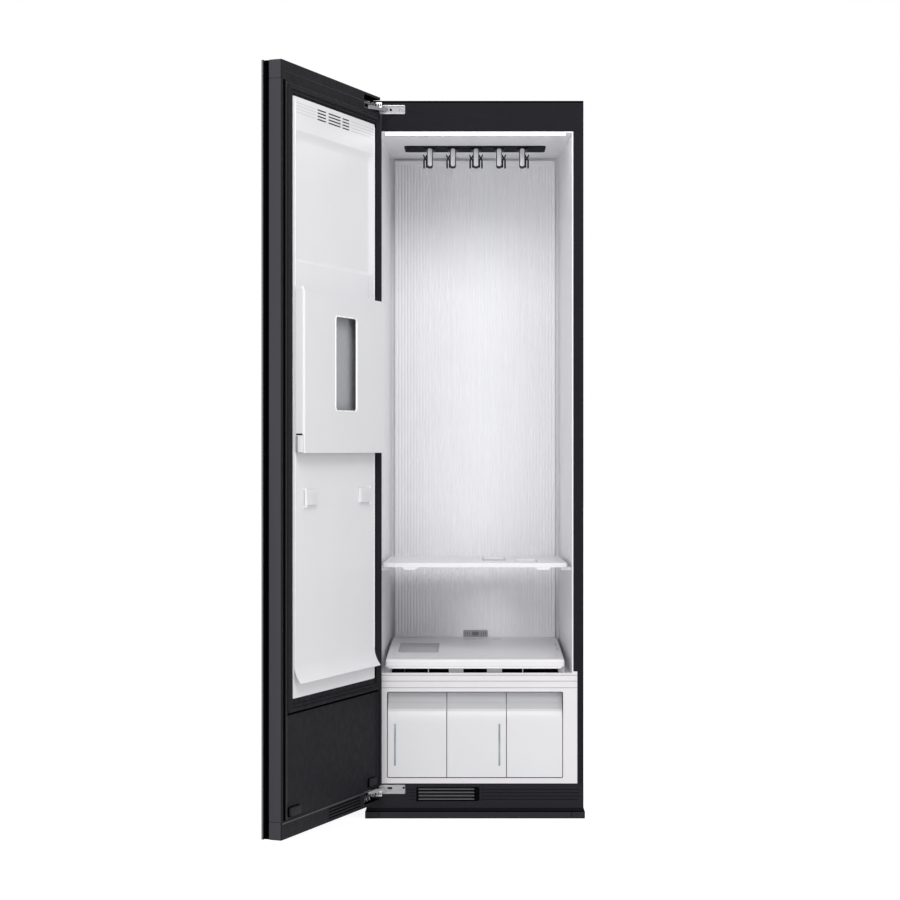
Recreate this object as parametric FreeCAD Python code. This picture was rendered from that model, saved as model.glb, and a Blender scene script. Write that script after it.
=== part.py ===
"""Clothes care steam cabinet: a tall case with a heated, steamed hanging space, three pull-out
water and storage modules under it, and a glass-fronted door that carries a trouser press.

Millimetres. X runs to the right, Y to the back and Z up. The origin is on the floor, at the
middle of the case's front face, the plane that the door closes against. The door is drawn shut
and then swung about its hinge pins to the angle it stands open at.
"""
import FreeCAD
import Part
import math
import os

V = FreeCAD.Vector
AXES = {"x": V(1, 0, 0), "y": V(0, 1, 0), "z": V(0, 0, 1)}

# ---------------------------------------------------------------- driving dimensions
CASE_WIDTH = 592.0
CASE_DEPTH = 540.0
CASE_HEIGHT = 1960.0
SHEET = 1.0              # steel of the outer skins
COLUMN_WIDTH = 27.4      # folded front flange beside the opening
RETURN_WIDTH = 16.0      # folded flange at the back edge
BEAM_HEIGHT = 84.0       # beam over the opening
BEAM_DEPTH = 40.0
PLINTH_TOP = 94.0
FASCIA_TOP = 400.0
LOW_COLUMN_WIDTH = 16.5  # the columns are narrower beside the fascia
FASCIA_DEPTH = 12.0
SILL_DROP = 4.5          # the sill is lower than the fascia's shoulders
SLIDE_GAP = 0.3          # clearance between pieces that move past each other
RUN_GAP = 0.05           # radial clearance of a pin or shaft in its bore

SKIRT_TOP = 27.0
SKIRT_TOE = 18.0
SKIRT_FLARE = 4.0        # how far the toe stands out at the sides
SKIRT_REACH = 12.0       # and at the front
SKIRT_WALL = 12.0
SKIRT_END = 37.0         # length of the two end lengths, seen from the front
SKIRT_SEAM = 0.5
PAN_SHEET = 2.0
RAIL_WIDTH = 44.0
RAIL_DROP = 15.0
FOOT_IN = 56.0           # a foot's axis from the case's side
FOOT_FRONT_Y = 62.0
FOOT_BACK_IN = 54.0      # rear feet from the case's back
FOOT_PAD_R = 18.0
FOOT_PAD_T = 6.0
FOOT_STEM_R = 5.0
FOOT_STEM_TOP = 42.0

LOUVRE_X = (-159.0, 12.0)
LOUVRE_Z = (47.0, 83.0)
LOUVRE_SLATS = 4
SLAT_HEIGHT = 3.0
PLINTH_T = 3.0
PLINTH_LINE_X = (18.0, 280.0)
PLINTH_LINE_H = 1.2
PLINTH_LINE_DEEP = 0.8

LINER_T = 3.0
CAVITY_BACK_GAP = 40.0   # from the liner's back to the case's
CAVITY_TAPER = 15.6      # how much each side wall comes in by the back
CAVITY_FLOOR = 390.0
CAVITY_CORNER_R = 12.0
BACK_PANEL_T = 12.0
BACK_PANEL_LIFT = 13.0   # from the liner's floor
BACK_PANEL_DROP = 7.0    # and from its ceiling
FLUTE_PITCH = 9.0
FLUTE_DEEP = 1.2
FLUTE_RECESS = 2.0
FLUTE_SIDE = 4.0         # plain border beside the flutes
FLUTE_LIFT = 52.0        # under them
FLUTE_DROP = 14.0        # and over them
LIGHT_BAR_ENDS = (27.6, 17.6)   # from the liner's left and right walls
LIGHT_BAR_Y = (3.0, 19.0)
LIGHT_BAR_T = 6.0

SLOT_PLATE_HALF = 202.0
SLOT_PLATE_Y = (240.0, 346.0)
SLOT_PLATE_T = 3.0
SLOT_PLATE_R = 10.0
HOOK_COUNT = 5
HOOK_PITCH = 66.0
HOOK_MID_X = 3.0
HOOK_Y = 262.0
HOOK_DROP = 58.0
HOOK_WIDTH = 17.0
HOOK_DEPTH = 17.0
HOOK_FACE_WIDTH = 12.6
HOOK_FACE_T = 1.2
HOOK_BOSS = 29.0
HOOK_BOSS_T = 8.0
FORK_ARM = 4.0
FORK_GAP = 5.5
FORK_DROP = 38.0
STEM_WIDTH = 12.0
STEM_DEPTH = 12.0
STROKE = 10.0            # the carriage shakes this far each way
DRIVE_SHEET = 2.0
CARRIAGE_T = 8.0
CARRIAGE_LIFT = 5.0
GUIDE_PAD = 24.0
CAM_Y = 345.0
CAM_R = 18.0
CAM_THROW = 10.0
POST_R = 5.0
PULLEY_T = 8.0
CAM_PULLEY_R = 40.0
MOTOR_PULLEY_R = 14.0
MOTOR_X = 130.0
MOTOR_R = 27.0
MOTOR_SHAFT_R = 4.0
BELT_T = 2.0

SHELF_TOP = 694.0
SHELF_T = 6.0
SHELF_LIP = 11.6
SHELF_Y = (40.0, 408.0)
SHELF_SIDE_GAP = 10.3
SHELF_TAPER = 12.0
SHELF_RIM = 8.0
SHELF_TAB_DROP = 6.9
TAB_X = ((-201.0, -157.0), (165.0, 210.0))
TIE_SLOTS = (((20.0, 87.0), (145.0, 340.0)), ((111.0, 175.0), (74.0, 249.0)))
TIE_SLOT_R = 14.0
RAIL_HEIGHT = 8.0
RAIL_OVERLAP = 18.0      # how far the shelf lies on each rail
TRAY_SIDE_GAP = 4.5
TRAY_FRONT = 25.0
TRAY_BACK_GAP = 4.0
TRAY_LIFT = 17.0         # air gap under the tray's lip
TRAY_LIP_H = 23.0
TRAY_RISE = 18.0         # the back is this much higher than the lip
TRAY_WALL = 5.0
TRAY_LIP_R = 6.0
TRAY_LEG_W = 16.0
GROOVE_IN = 22.0
GROOVE_WIDTH = 2.0
GROOVE_DEEP = 1.0
GROOVE_SHORT = 60.0
GRILLE_IN = 29.0         # from the tray's left side
GRILLE_WIDTH = 114.0
GRILLE_Y = (165.0, 360.0)
GRILLE_T = 5.0
GRILLE_SLATS = 9
DIVIDERS = ((-72.0, -32.0), (33.0, 74.0), (-130.0, -127.0), (130.0, 133.0))
DIVIDER_Y = (44.0, 60.0)

BAY_SIDE = 56.4          # from the case's side to the nearest module
MODULE_WIDTHS = (162.3, 163.1)            # the third takes the rest
MODULE_Z = (111.0, 342.6)
MODULE_GAP = 1.0
MODULE_FRONT_T = 22.0
MODULE_ROOM = 32.5       # for the pumps, from the bay to the evaporator
MODULE_WALL = 2.5
MODULE_SIDE_GAP = 4.0
RECESS_Z = (262.0, 318.0)                 # the hand recess curves back between these heights
RECESS_DEEP = 16.0
WINDOW_WIDTH = 5.0
WINDOW_Z = (142.0, 257.0)
WINDOW_DEEP = 1.5
WINDOW_INSET = (18.0, 16.7)               # from the module's own edge
CAP_R = 24.0
CAP_H = 3.5
CAP_BACK = 60.0          # filler cap's axis behind the tank's front
BAY_WALL = 2.5
BAY_LEG_IN = 40.0        # a leg's axis from the bay's side
BAY_LEG_W = 20.0
FASCIA_LINES = (389.0, 372.8, 354.7)
FASCIA_LINE_H = 1.4
FASCIA_LINE_DEEP = 1.6

CARTRIDGE_X = (-35.0, 37.6)
CARTRIDGE_Z = (450.5, 469.5)
CARTRIDGE_DEEP = 9.0
CARTRIDGE_PROUD = 3.0
CARTRIDGE_R = 3.0

DOOR_GAP = 8.0           # between the case front and the door's inner face
DOOR_BOTTOM = 52.0
DOOR_OPEN = 111.6        # angle the door stands open at, in degrees
GLASS_T = 5.0
GLASS_PROUD = 2.0        # the glass is wider than the case on each side
CARRIER_T = 13.0
CARRIER_INSET = 8.0
CARRIER_RIM = 18.0
CARRIER_BAY_COUNT = 4
FRAME_T = 34.0
FRAME_SHORT = 4.0        # the frame stops short of the case's free side
STILE = 27.0
END_CAP = 46.0
BOTTOM_TRIM = 44.0
HINGE_IN = 6.5           # pin axis from the case's left side
HINGE_OUT = 41.5         # and in front of the case
HINGE_PLATE_IN = (34.0, 105.0)   # ends of the plate from the case's side
HINGE_PLATE_H = 25.0
HINGE_PLATE_T = 3.0
HINGE_DROP = 24.5        # below the door's top
HINGE_LIFT = 26.1        # above its bottom
HINGE_BARREL_R = 7.0
HINGE_PIN_R = 3.0
HINGE_TONGUE = 10.0
HINGE_LEAF = 4.0
HINGE_POCKET_H = 36.0
HINGE_POCKET_U = 105.0
HINGE_CUP_U = 60.0
HINGE_POCKET_DEEP = 42.0
SCREW_R = 2.2
SCREW_HEAD_R = 4.4
SCREW_HEAD_T = 1.4
SCREW_LENGTH = 9.0
SCREW_EDGE = 12.0        # from the plate's free end to its last screw
SCREW_PITCH = 27.0
CORE_BACK = 2.0          # liner and core meet this far inside the door's inner face
DOOR_LINER_SIDES = (36.0, 58.0)  # from the frame's hinge edge and its free edge
DOOR_LINER_DROP = 80.0   # below the door's top
DOOR_LINER_BELOW = 8.0   # under the fascia's top
DOOR_LINER_PROUD = 3.0
SHIELD_T = 2.5
SHIELD_SIDE = 4.0
SHIELD_DROP = 6.0        # below the liner's top
DRIP_LIFT = 35.0         # drip edge above the liner's bottom
DRIP_RISE = 47.0         # height of the flare
DRIP_OUT = 19.0
VENT_ROW_COUNT = 4
VENT_PITCH = 8.0
VENT_DROP = 10.8         # top row below the shield's top
VENT_COLUMNS = ((209.0, 252.0), (261.0, 335.0), (347.0, 399.0))
VENT_H = 3.6
PANEL_RECESS_SIDES = (24.0, 10.0)    # from the liner's sides
PANEL_RECESS_DROP = 76.0 # below the shield's top
PANEL_RECESS_H = 327.0
PANEL_RECESS_DEEP = 1.5
GASKET_W = 20.0
GASKET_OUT = (20.0, 26.0)        # outer edge beyond the liner: hinge side, free side
GASKET_OUT_Z = (34.0, 24.0)      # and below and above it
GASKET_REST = 0.3
GASKET_MARGIN = 5.0      # of border left outside the gasket
BUMPER_IN = ((28.0, 88.0), (31.0, 89.0))   # from the frame's hinge edge and its free edge
BUMPER_Z = (100.0, 125.0)
TRIM_SLOT_U = (135.0, 318.0)
TRIM_SLOT_Z = (60.0, 68.0, 76.0, 84.0)
TRIM_SLOT_H = 3.0

PRESS_SIDE = (4.0, 3.0)  # inside the liner's two sides
PRESS_Z = (998.0, 1402.0)
PRESS_PROUD = 27.0
PRESS_WALL = 3.0
PRESS_WINDOW_IN = (183.0, 180.0)          # from the cover's two sides
PRESS_WINDOW_UP = (109.0, 57.0)           # from its bottom and its top
PRESS_WINDOW_R = 9.0
PRESS_CORNER_R = 5.5
PRESS_PIN_IN = 6.0       # pin axis from the cover's outer side
PRESS_PIN_OUT = 18.0     # and out from the shield
PRESS_PIN_R = 3.0
PRESS_LUG_R = 5.0
PRESS_NOTCH = 44.0
PRESS_BEARING = 10.0
BOARD_IN = (22.0, 27.0)
BOARD_SHORT = 6.0        # board inside the cover at top and bottom
BOARD_T = 4.0
BAR_R = 4.0
BAR_POST_R = 2.8
BAR_IN = (68.0, 60.0)    # inside the board's two sides
CLIP_IN = 50.0           # from the cover's outer side
CLIP_LENGTH = 63.0
CLIP_DROP = 93.0         # top of the clips below the cover
CLIP_HEIGHT = 38.0
CLIP_T = 7.6
CLIP_PIN_R = 1.5
CLIP_LUG = 4.0

COMPRESSOR_IN = (91.0, 135.0)    # axis from the case's left side and its back
COMPRESSOR_R = 62.0
COMPRESSOR_H = 190.0
COMPRESSOR_WALL = 8.0
COMPRESSOR_PORT = 18.0
GROMMET_H = 10.0
EXCHANGER_X = (-118.0, 62.0)
EVAPORATOR_DEEP = 70.0
CONDENSER_DEEP = 80.0
EXCHANGER_GAP = 18.0
EXCHANGER_H = 241.0
EXCHANGER_HEADER = 12.0
FIN_PITCH = 12.0
FIN_GAP = 9.0
BLOWER_X = (100.0, 188.0)
BLOWER_BACK = 140.0      # axis in front of the case's back
BLOWER_LIFT = 205.0
BLOWER_R = 98.0
BLOWER_WALL = 3.0
BLOWER_INLET_R = 52.0
WHEEL_R = 78.0
WHEEL_BLADES = 24
WHEEL_SHAFT_R = 5.0
BLOWER_MOTOR_R = 42.0
BLOWER_MOTOR_L = 68.0
BOILER_X = (-112.0, 40.0)
BOILER_BACK = 18.0       # in front of the case's back
BOILER_DEEP = 86.0
BOILER_GAP = 16.0        # between boiler and condenser
BOILER_FOOT = 24.0
BOILER_FOOT_IN = 10.0
BOILER_Z = (37.0, 150.0)
BOILER_WALL = 4.0
BOILER_R = 14.0
HOSE_R = 11.0
HOSE_IN = 32.0           # from the boiler's left end
HOSE_BEND = 40.0
PUMP_X = (-180.0, 72.0)
PUMP_SIZE = (58.0, 16.0, 52.0)
PUMP_Z = 45.0
PIPE_R = 4.0
PIPE_BEND = 22.0
CONTROL_IN = 34.0        # from the case's left side
CONTROL_GAP = 15.0       # behind the hanger drive
CONTROL_SIZE = (166.0, 60.0)
CONTROL_H = 44.0
INLET_IN = 82.0          # axis from the case's right side
INLET_LIFT = 118.0
INLET_R = 15.0
INLET_BORE_R = 5.0
INLET_PROUD = 7.0

# ---------------------------------------------------------------- sizes that follow
HALF = CASE_WIDTH / 2
INSIDE = HALF - SHEET
OPEN_HALF = HALF - COLUMN_WIDTH
BEAM_Z = CASE_HEIGHT - BEAM_HEIGHT
BACK_SKIN_Y = CASE_DEPTH - SHEET
CAVITY_DEPTH = CASE_DEPTH - CAVITY_BACK_GAP
BACK_PANEL_Y = CAVITY_DEPTH - BACK_PANEL_T
CEILING_Z = BEAM_Z - LINER_T
SILL_Z = FASCIA_TOP - SILL_DROP
PAN_TOP = SKIRT_TOP + PAN_SHEET
BOILER_Y = (CASE_DEPTH - BOILER_BACK - BOILER_DEEP, CASE_DEPTH - BOILER_BACK)
CONDENSER_Y = (BOILER_Y[0] - BOILER_GAP - CONDENSER_DEEP, BOILER_Y[0] - BOILER_GAP)
EVAPORATOR_Y = (CONDENSER_Y[0] - EXCHANGER_GAP - EVAPORATOR_DEEP, CONDENSER_Y[0] - EXCHANGER_GAP)
EXCHANGER_TOP = PAN_TOP + EXCHANGER_H
BAY_BACK = EVAPORATOR_Y[0] - MODULE_ROOM
MODULE_DEPTH = BAY_BACK - BAY_WALL - FASCIA_DEPTH
FASCIA_HALF = HALF - LOW_COLUMN_WIDTH
BAY_HALF = HALF - BAY_SIDE
MODULE_X = (-BAY_HALF, -BAY_HALF + MODULE_WIDTHS[0], -BAY_HALF + sum(MODULE_WIDTHS), BAY_HALF)
FOOT_X = HALF - FOOT_IN
FOOT_BACK_Y = CASE_DEPTH - FOOT_BACK_IN
LINER_HALF = OPEN_HALF - LINER_T
BACK_PANEL_Z = (CAVITY_FLOOR + BACK_PANEL_LIFT, BEAM_Z - LINER_T - BACK_PANEL_DROP)
FLUTE_Z = (BACK_PANEL_Z[0] + FLUTE_LIFT, BACK_PANEL_Z[1] - FLUTE_DROP)
LIGHT_BAR_X = (-LINER_HALF + LIGHT_BAR_ENDS[0], LINER_HALF - LIGHT_BAR_ENDS[1])
TRAY_BACK = BACK_PANEL_Y - TRAY_BACK_GAP
TRAY_LIP_Z = (CAVITY_FLOOR + TRAY_LIFT, CAVITY_FLOOR + TRAY_LIFT + TRAY_LIP_H)
TRAY_RISE_Z = TRAY_LIP_Z[1] + TRAY_RISE
TRAY_HALF = LINER_HALF - CAVITY_TAPER * TRAY_BACK / CAVITY_DEPTH - TRAY_SIDE_GAP
SHELF_HALF = LINER_HALF - CAVITY_TAPER * SHELF_Y[0] / CAVITY_DEPTH - SHELF_SIDE_GAP
RAIL_INNER = SHELF_HALF - RAIL_OVERLAP
GRILLE_X = (-TRAY_HALF + GRILLE_IN, -TRAY_HALF + GRILLE_IN + GRILLE_WIDTH)
HINGE_X = -HALF + HINGE_IN
HINGE_Y = -HINGE_OUT
HINGE_ZS = (DOOR_BOTTOM + HINGE_LIFT, CASE_HEIGHT - HINGE_DROP)
HINGE_PLATE_X = (-HALF + HINGE_PLATE_IN[0], -HALF + HINGE_PLATE_IN[1])
GLASS_WIDTH = CASE_WIDTH + 2 * GLASS_PROUD
FRAME_WIDTH = CASE_WIDTH - FRAME_SHORT
DOOR_LINER_U = (DOOR_LINER_SIDES[0], FRAME_WIDTH - DOOR_LINER_SIDES[1])
DOOR_LINER_Z = (FASCIA_TOP - DOOR_LINER_BELOW, CASE_HEIGHT - DOOR_LINER_DROP)
SHIELD_TOP_Z = DOOR_LINER_Z[1] - SHIELD_DROP
DRIP_Z = (DOOR_LINER_Z[0] + DRIP_LIFT, DOOR_LINER_Z[0] + DRIP_LIFT + DRIP_RISE)
VENT_ROWS = [SHIELD_TOP_Z - VENT_DROP - i * VENT_PITCH for i in range(VENT_ROW_COUNT)]
PANEL_RECESS_U = (DOOR_LINER_U[0] + PANEL_RECESS_SIDES[0],
                  DOOR_LINER_U[1] - PANEL_RECESS_SIDES[1])
PANEL_RECESS_TOP = SHIELD_TOP_Z - PANEL_RECESS_DROP
PANEL_RECESS_Z = (PANEL_RECESS_TOP - PANEL_RECESS_H, PANEL_RECESS_TOP)
GASKET_U = (DOOR_LINER_U[0] - GASKET_OUT[0], DOOR_LINER_U[1] + GASKET_OUT[1])
GASKET_Z = (DOOR_LINER_Z[0] - GASKET_OUT_Z[0], DOOR_LINER_Z[1] + GASKET_OUT_Z[1])
BUMPER_U = (BUMPER_IN[0], (FRAME_WIDTH - BUMPER_IN[1][1], FRAME_WIDTH - BUMPER_IN[1][0]))
PRESS_U = (DOOR_LINER_U[0] + PRESS_SIDE[0], DOOR_LINER_U[1] - PRESS_SIDE[1])
PRESS_WINDOW_U = (PRESS_U[0] + PRESS_WINDOW_IN[0], PRESS_U[1] - PRESS_WINDOW_IN[1])
PRESS_WINDOW_Z = (PRESS_Z[0] + PRESS_WINDOW_UP[0], PRESS_Z[1] - PRESS_WINDOW_UP[1])
BOARD_U = (PRESS_U[0] + BOARD_IN[0], PRESS_U[1] - BOARD_IN[1])
BAR_U = (BOARD_U[0] + BAR_IN[0], BOARD_U[1] - BAR_IN[1])
CLIP_U = (PRESS_U[1] - CLIP_IN - CLIP_LENGTH, PRESS_U[1] - CLIP_IN)
CLIP_MIRROR_U = sum(PRESS_U)         # the twin clip lies mirrored: u becomes this less u
CLIP_Z = (PRESS_Z[0] - CLIP_DROP - CLIP_HEIGHT, PRESS_Z[0] - CLIP_DROP)
FRAME_IN_Y = -DOOR_GAP
FRAME_OUT_Y = FRAME_IN_Y - FRAME_T
CARRIER_OUT_Y = FRAME_OUT_Y - CARRIER_T
CORE_Y = FRAME_IN_Y - CORE_BACK
SHIELD_BACK_Y = FRAME_IN_Y + DOOR_LINER_PROUD
SHIELD_Y = SHIELD_BACK_Y + SHIELD_T
PRESS_FRONT_Y = SHIELD_Y + PRESS_PROUD
PRESS_PIN_Y = SHIELD_Y + PRESS_PIN_OUT
HOOK_XS = [HOOK_MID_X + HOOK_PITCH * (i - (HOOK_COUNT - 1) / 2) for i in range(HOOK_COUNT)]
PLATE_Z = CEILING_Z - SLOT_PLATE_T
DRIVE_Z = BEAM_Z + DRIVE_SHEET
CARRIAGE_Z = DRIVE_Z + CARRIAGE_LIFT
PULLEY_Z = CARRIAGE_Z + CARRIAGE_T + 6 * SLIDE_GAP
COMPRESSOR_XY = (-HALF + COMPRESSOR_IN[0], CASE_DEPTH - COMPRESSOR_IN[1])
CONTROL_X = (-HALF + CONTROL_IN, -HALF + CONTROL_IN + CONTROL_SIZE[0])
DRIVE_BACK_Y = CAM_Y + CAM_PULLEY_R
CONTROL_Y = (DRIVE_BACK_Y + CONTROL_GAP, DRIVE_BACK_Y + CONTROL_GAP + CONTROL_SIZE[1])
BLOWER_YZ = (CASE_DEPTH - BLOWER_BACK, BLOWER_LIFT)
INLET_XZ = (HALF - INLET_IN, INLET_LIFT)


# ---------------------------------------------------------------- shape helpers
def block(x, y, z):
    """Box from three (low, high) pairs."""
    return Part.makeBox(x[1] - x[0], y[1] - y[0], z[1] - z[0], V(x[0], y[0], z[0]))


def edges_along(shape, axis):
    """Straight edges that run along one axis."""
    found = []
    for edge in shape.Edges:
        if len(edge.Vertexes) == 2 and isinstance(edge.Curve, Part.Line):
            run = edge.Vertexes[1].Point - edge.Vertexes[0].Point
            if run.cross(AXES[axis]).Length < 1e-6 * run.Length:
                found.append(edge)
    return found


def rounded(x, y, z, radius, axis="z"):
    """Box whose four edges along one axis are rounded."""
    shape = block(x, y, z)
    return shape.makeFillet(radius, edges_along(shape, axis))


def rod(centre, radius, low, high, axis="z"):
    """Cylinder along an axis; centre holds the two other coordinates in X, Y, Z order."""
    a, b = centre
    base = {"x": V(low, a, b), "y": V(a, low, b), "z": V(a, b, low)}[axis]
    return Part.makeCylinder(radius, high - low, base, AXES[axis])


def prism(points, axis, low, high):
    """Polygon in the plane across an axis, pulled from low to high along it."""
    place = {
        "x": lambda a, b: V(low, a, b),
        "y": lambda a, b: V(a, low, b),
        "z": lambda a, b: V(a, b, low),
    }[axis]
    corners = [place(a, b) for a, b in points]
    face = Part.Face(Part.makePolygon(corners + corners[:1]))
    return face.extrude(AXES[axis] * (high - low))


def section_x(edges, low, high):
    """Closed outline of edges in a plane across X, pulled along X."""
    return Part.Face(Part.Wire(edges)).extrude(V(high - low, 0, 0))


def line(a, b):
    return Part.makeLine(a, b)


def join(*shapes):
    """One solid out of several that touch or overlap."""
    return shapes[0].multiFuse(list(shapes[1:])).removeSplitter()


def group(shapes):
    """Separate solids kept side by side in one piece."""
    return Part.makeCompound(list(shapes))


def mirror_x(shape):
    return shape.mirror(V(0, 0, 0), V(1, 0, 0))


def door_x(u):
    """X of a point that lies u from the door's hinge edge, with the door shut."""
    return u - HALF


def door_span(pair):
    return (door_x(pair[0]), door_x(pair[1]))


def swing(shape):
    """Door pieces are drawn shut and stand open."""
    turned = shape.copy()
    turned.rotate(V(HINGE_X, HINGE_Y, 0), AXES["z"], -DOOR_OPEN)
    return turned


def tube_path(points, bend):
    """Straight runs joined by tangent arcs."""
    edges = []
    start = points[0]
    for before, corner, after in zip(points, points[1:], points[2:]):
        back = (before - corner).normalize()
        ahead = (after - corner).normalize()
        half = back.getAngle(ahead) / 2
        reach = bend / math.tan(half)
        middle = (back + ahead).normalize()
        centre = corner + middle * (bend / math.sin(half))
        first = corner + back * reach
        last = corner + ahead * reach
        edges.append(line(start, first))
        edges.append(Part.Arc(first, centre - middle * bend, last).toShape())
        start = last
    edges.append(line(start, points[-1]))
    return Part.Wire(edges)


def tube(points, radius, bend):
    path = tube_path(points, bend)
    ring = Part.Wire(Part.makeCircle(radius, points[0], points[1] - points[0]))
    return path.makePipeShell([ring], True, False)


# ---------------------------------------------------------------- outer case
def cavity_outline(grow, front):
    """Plan of the hanging space, grown outward, from a front line to its back."""
    def half_at(y):
        return OPEN_HALF - LINER_T + grow - CAVITY_TAPER * y / CAVITY_DEPTH

    back = CAVITY_DEPTH + grow
    return [
        (-half_at(front), front),
        (half_at(front), front),
        (half_at(back), back),
        (-half_at(back), back),
    ]


def wall_half(y):
    """Half the clear width of the hanging space at a depth."""
    return OPEN_HALF - LINER_T - CAVITY_TAPER * y / CAVITY_DEPTH


def side_panel():
    """Right skin with its front and back flanges; the left one is its mirror image."""
    top = CASE_HEIGHT - SHEET
    skin = block((INSIDE, HALF), (0, CASE_DEPTH), (SKIRT_TOP, top))
    skin = skin.cut(block((0, CASE_WIDTH), (-1, BEAM_DEPTH), (BEAM_Z, CASE_HEIGHT)))
    column = block((OPEN_HALF, HALF), (0, SHEET), (FASCIA_TOP, BEAM_Z))
    low_column = block((FASCIA_HALF, HALF), (0, SHEET), (PLINTH_TOP, FASCIA_TOP))
    back = block((HALF - RETURN_WIDTH, HALF), (BACK_SKIN_Y, CASE_DEPTH), (SKIRT_TOP, top))
    return join(skin, column, low_column, back)


def side_panels():
    right = side_panel()
    return group([right, mirror_x(right)])


def screw_spots():
    """Where the hinge screws enter the case: two for each hinge plate."""
    last = HINGE_PLATE_X[1] - SCREW_EDGE
    return [(x, z) for z in HINGE_ZS for x in (last - SCREW_PITCH, last)]


def screw_holes():
    return [rod(spot, SCREW_R, -2 * SHEET - DOOR_GAP, SCREW_LENGTH, "y") for spot in screw_spots()]


def front_top_beam():
    outer = block((-HALF, HALF), (0, BEAM_DEPTH), (BEAM_Z, CASE_HEIGHT))
    wall = 2 * SHEET
    inner = block((-HALF + wall, HALF - wall), (wall, BEAM_DEPTH + 1),
                  (BEAM_Z + wall, CASE_HEIGHT - wall))
    return outer.cut([inner] + screw_holes())


def top_panel():
    return block((-HALF, HALF), (BEAM_DEPTH, CASE_DEPTH), (CASE_HEIGHT - SHEET, CASE_HEIGHT))


def rear_panel():
    """Back skin with rows of air slots low down and a hole for the power inlet."""
    panel = block((-INSIDE, INSIDE), (BACK_SKIN_Y - SHEET, BACK_SKIN_Y),
                  (SKIRT_TOP, CASE_HEIGHT - SHEET))
    slots = []
    slot_w, slot_h, rows, step = 60.0, 5.0, 6, 14.0
    for row in range(rows):
        for side in (-1, 0, 1):
            x = side * 1.5 * slot_w - slot_w
            z = PLINTH_TOP + FASCIA_TOP / 2 + row * step
            slots.append(rounded((x, x + slot_w), (BACK_SKIN_Y - 9, CASE_DEPTH),
                                 (z, z + slot_h), slot_h / 2.2, "y"))
    inlet = rod(INLET_XZ, INLET_R, BACK_SKIN_Y - 9, CASE_DEPTH, "y")
    return panel.cut(slots + [inlet])


def wall_insulation():
    """Foam between the liner and the skins, in one U round the sides and back."""
    inner = cavity_outline(LINER_T, SHEET)
    back = BACK_SKIN_Y - SHEET
    points = [
        (-INSIDE, SHEET), inner[0], inner[3], inner[2], inner[1],
        (INSIDE, SHEET), (INSIDE, back), (-INSIDE, back),
    ]
    return prism(points, "z", FASCIA_TOP, BEAM_Z)


# ---------------------------------------------------------------- base
def base_pan():
    """Floor sheet on two cross rails that the feet screw into."""
    pan = block((-INSIDE, INSIDE), (PLINTH_T, BACK_SKIN_Y - SHEET), (SKIRT_TOP, PAN_TOP))
    rail_half = FOOT_X + RAIL_WIDTH / 2
    pieces = [pan]
    for y in (FOOT_FRONT_Y, FOOT_BACK_Y):
        outer = block((-rail_half, rail_half), (y - RAIL_WIDTH / 2, y + RAIL_WIDTH / 2),
                      (SKIRT_TOP - RAIL_DROP, SKIRT_TOP))
        inner = block((-rail_half, rail_half),
                      (y - RAIL_WIDTH / 2 + PAN_SHEET, y + RAIL_WIDTH / 2 - PAN_SHEET),
                      (SKIRT_TOP - RAIL_DROP - 1, SKIRT_TOP))
        nuts = [rod((x, y), 2 * FOOT_STEM_R, SKIRT_TOP - RAIL_DROP / 2, PAN_TOP)
                for x in (-FOOT_X, FOOT_X)]
        pieces += [outer.cut(inner)] + nuts
    stems = [rod((x, y), FOOT_STEM_R + RUN_GAP, 0, FOOT_STEM_TOP)
             for x in (-FOOT_X, FOOT_X) for y in (FOOT_FRONT_Y, FOOT_BACK_Y)]
    return join(*pieces).cut(stems)


def foot(x, y):
    """Levelling foot: round pad with a slightly smaller top and a threaded stem."""
    pad = Part.makeCone(FOOT_PAD_R, 0.8 * FOOT_PAD_R, FOOT_PAD_T, V(x, y, 0))
    return pad.fuse(rod((x, y), FOOT_STEM_R, FOOT_PAD_T, FOOT_STEM_TOP)).removeSplitter()


def base_skirt():
    """Flared skirt at the floor: a front length and two side lengths that turn the corners."""
    half = HALF + SKIRT_FLARE
    toe = block((-half, half), (-SKIRT_REACH, CASE_DEPTH), (0, SKIRT_TOE))

    def ring(x, y, z):
        return Part.makePolygon([V(-x, y, z), V(x, y, z), V(x, CASE_DEPTH, z),
                                 V(-x, CASE_DEPTH, z), V(-x, y, z)])

    slope = Part.makeLoft([ring(half, -SKIRT_REACH, SKIRT_TOE), ring(HALF, 0, SKIRT_TOP)],
                          True, True)
    room = block((-HALF + SKIRT_WALL, HALF - SKIRT_WALL), (SKIRT_WALL, CASE_DEPTH + 1),
                 (-1, SKIRT_TOP + 1))
    skirt = join(toe, slope).cut(room)
    seam_x = half - SKIRT_END
    low, high = (-1, SKIRT_TOP + 1), (-2 * SKIRT_REACH, SKIRT_WALL + 1)
    middle = block((-seam_x, seam_x), high, low)
    seams = [block((s * seam_x - SKIRT_SEAM, s * seam_x + SKIRT_SEAM), high, low) for s in (-1, 1)]
    front = skirt.common(middle).cut(seams)
    sides = skirt.cut([middle] + seams)
    return group([front] + sides.Solids)


def slat_heights(z, count):
    pitch = (z[1] - z[0]) / count
    return [z[0] + pitch * (i + 0.5) for i in range(count)]


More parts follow.
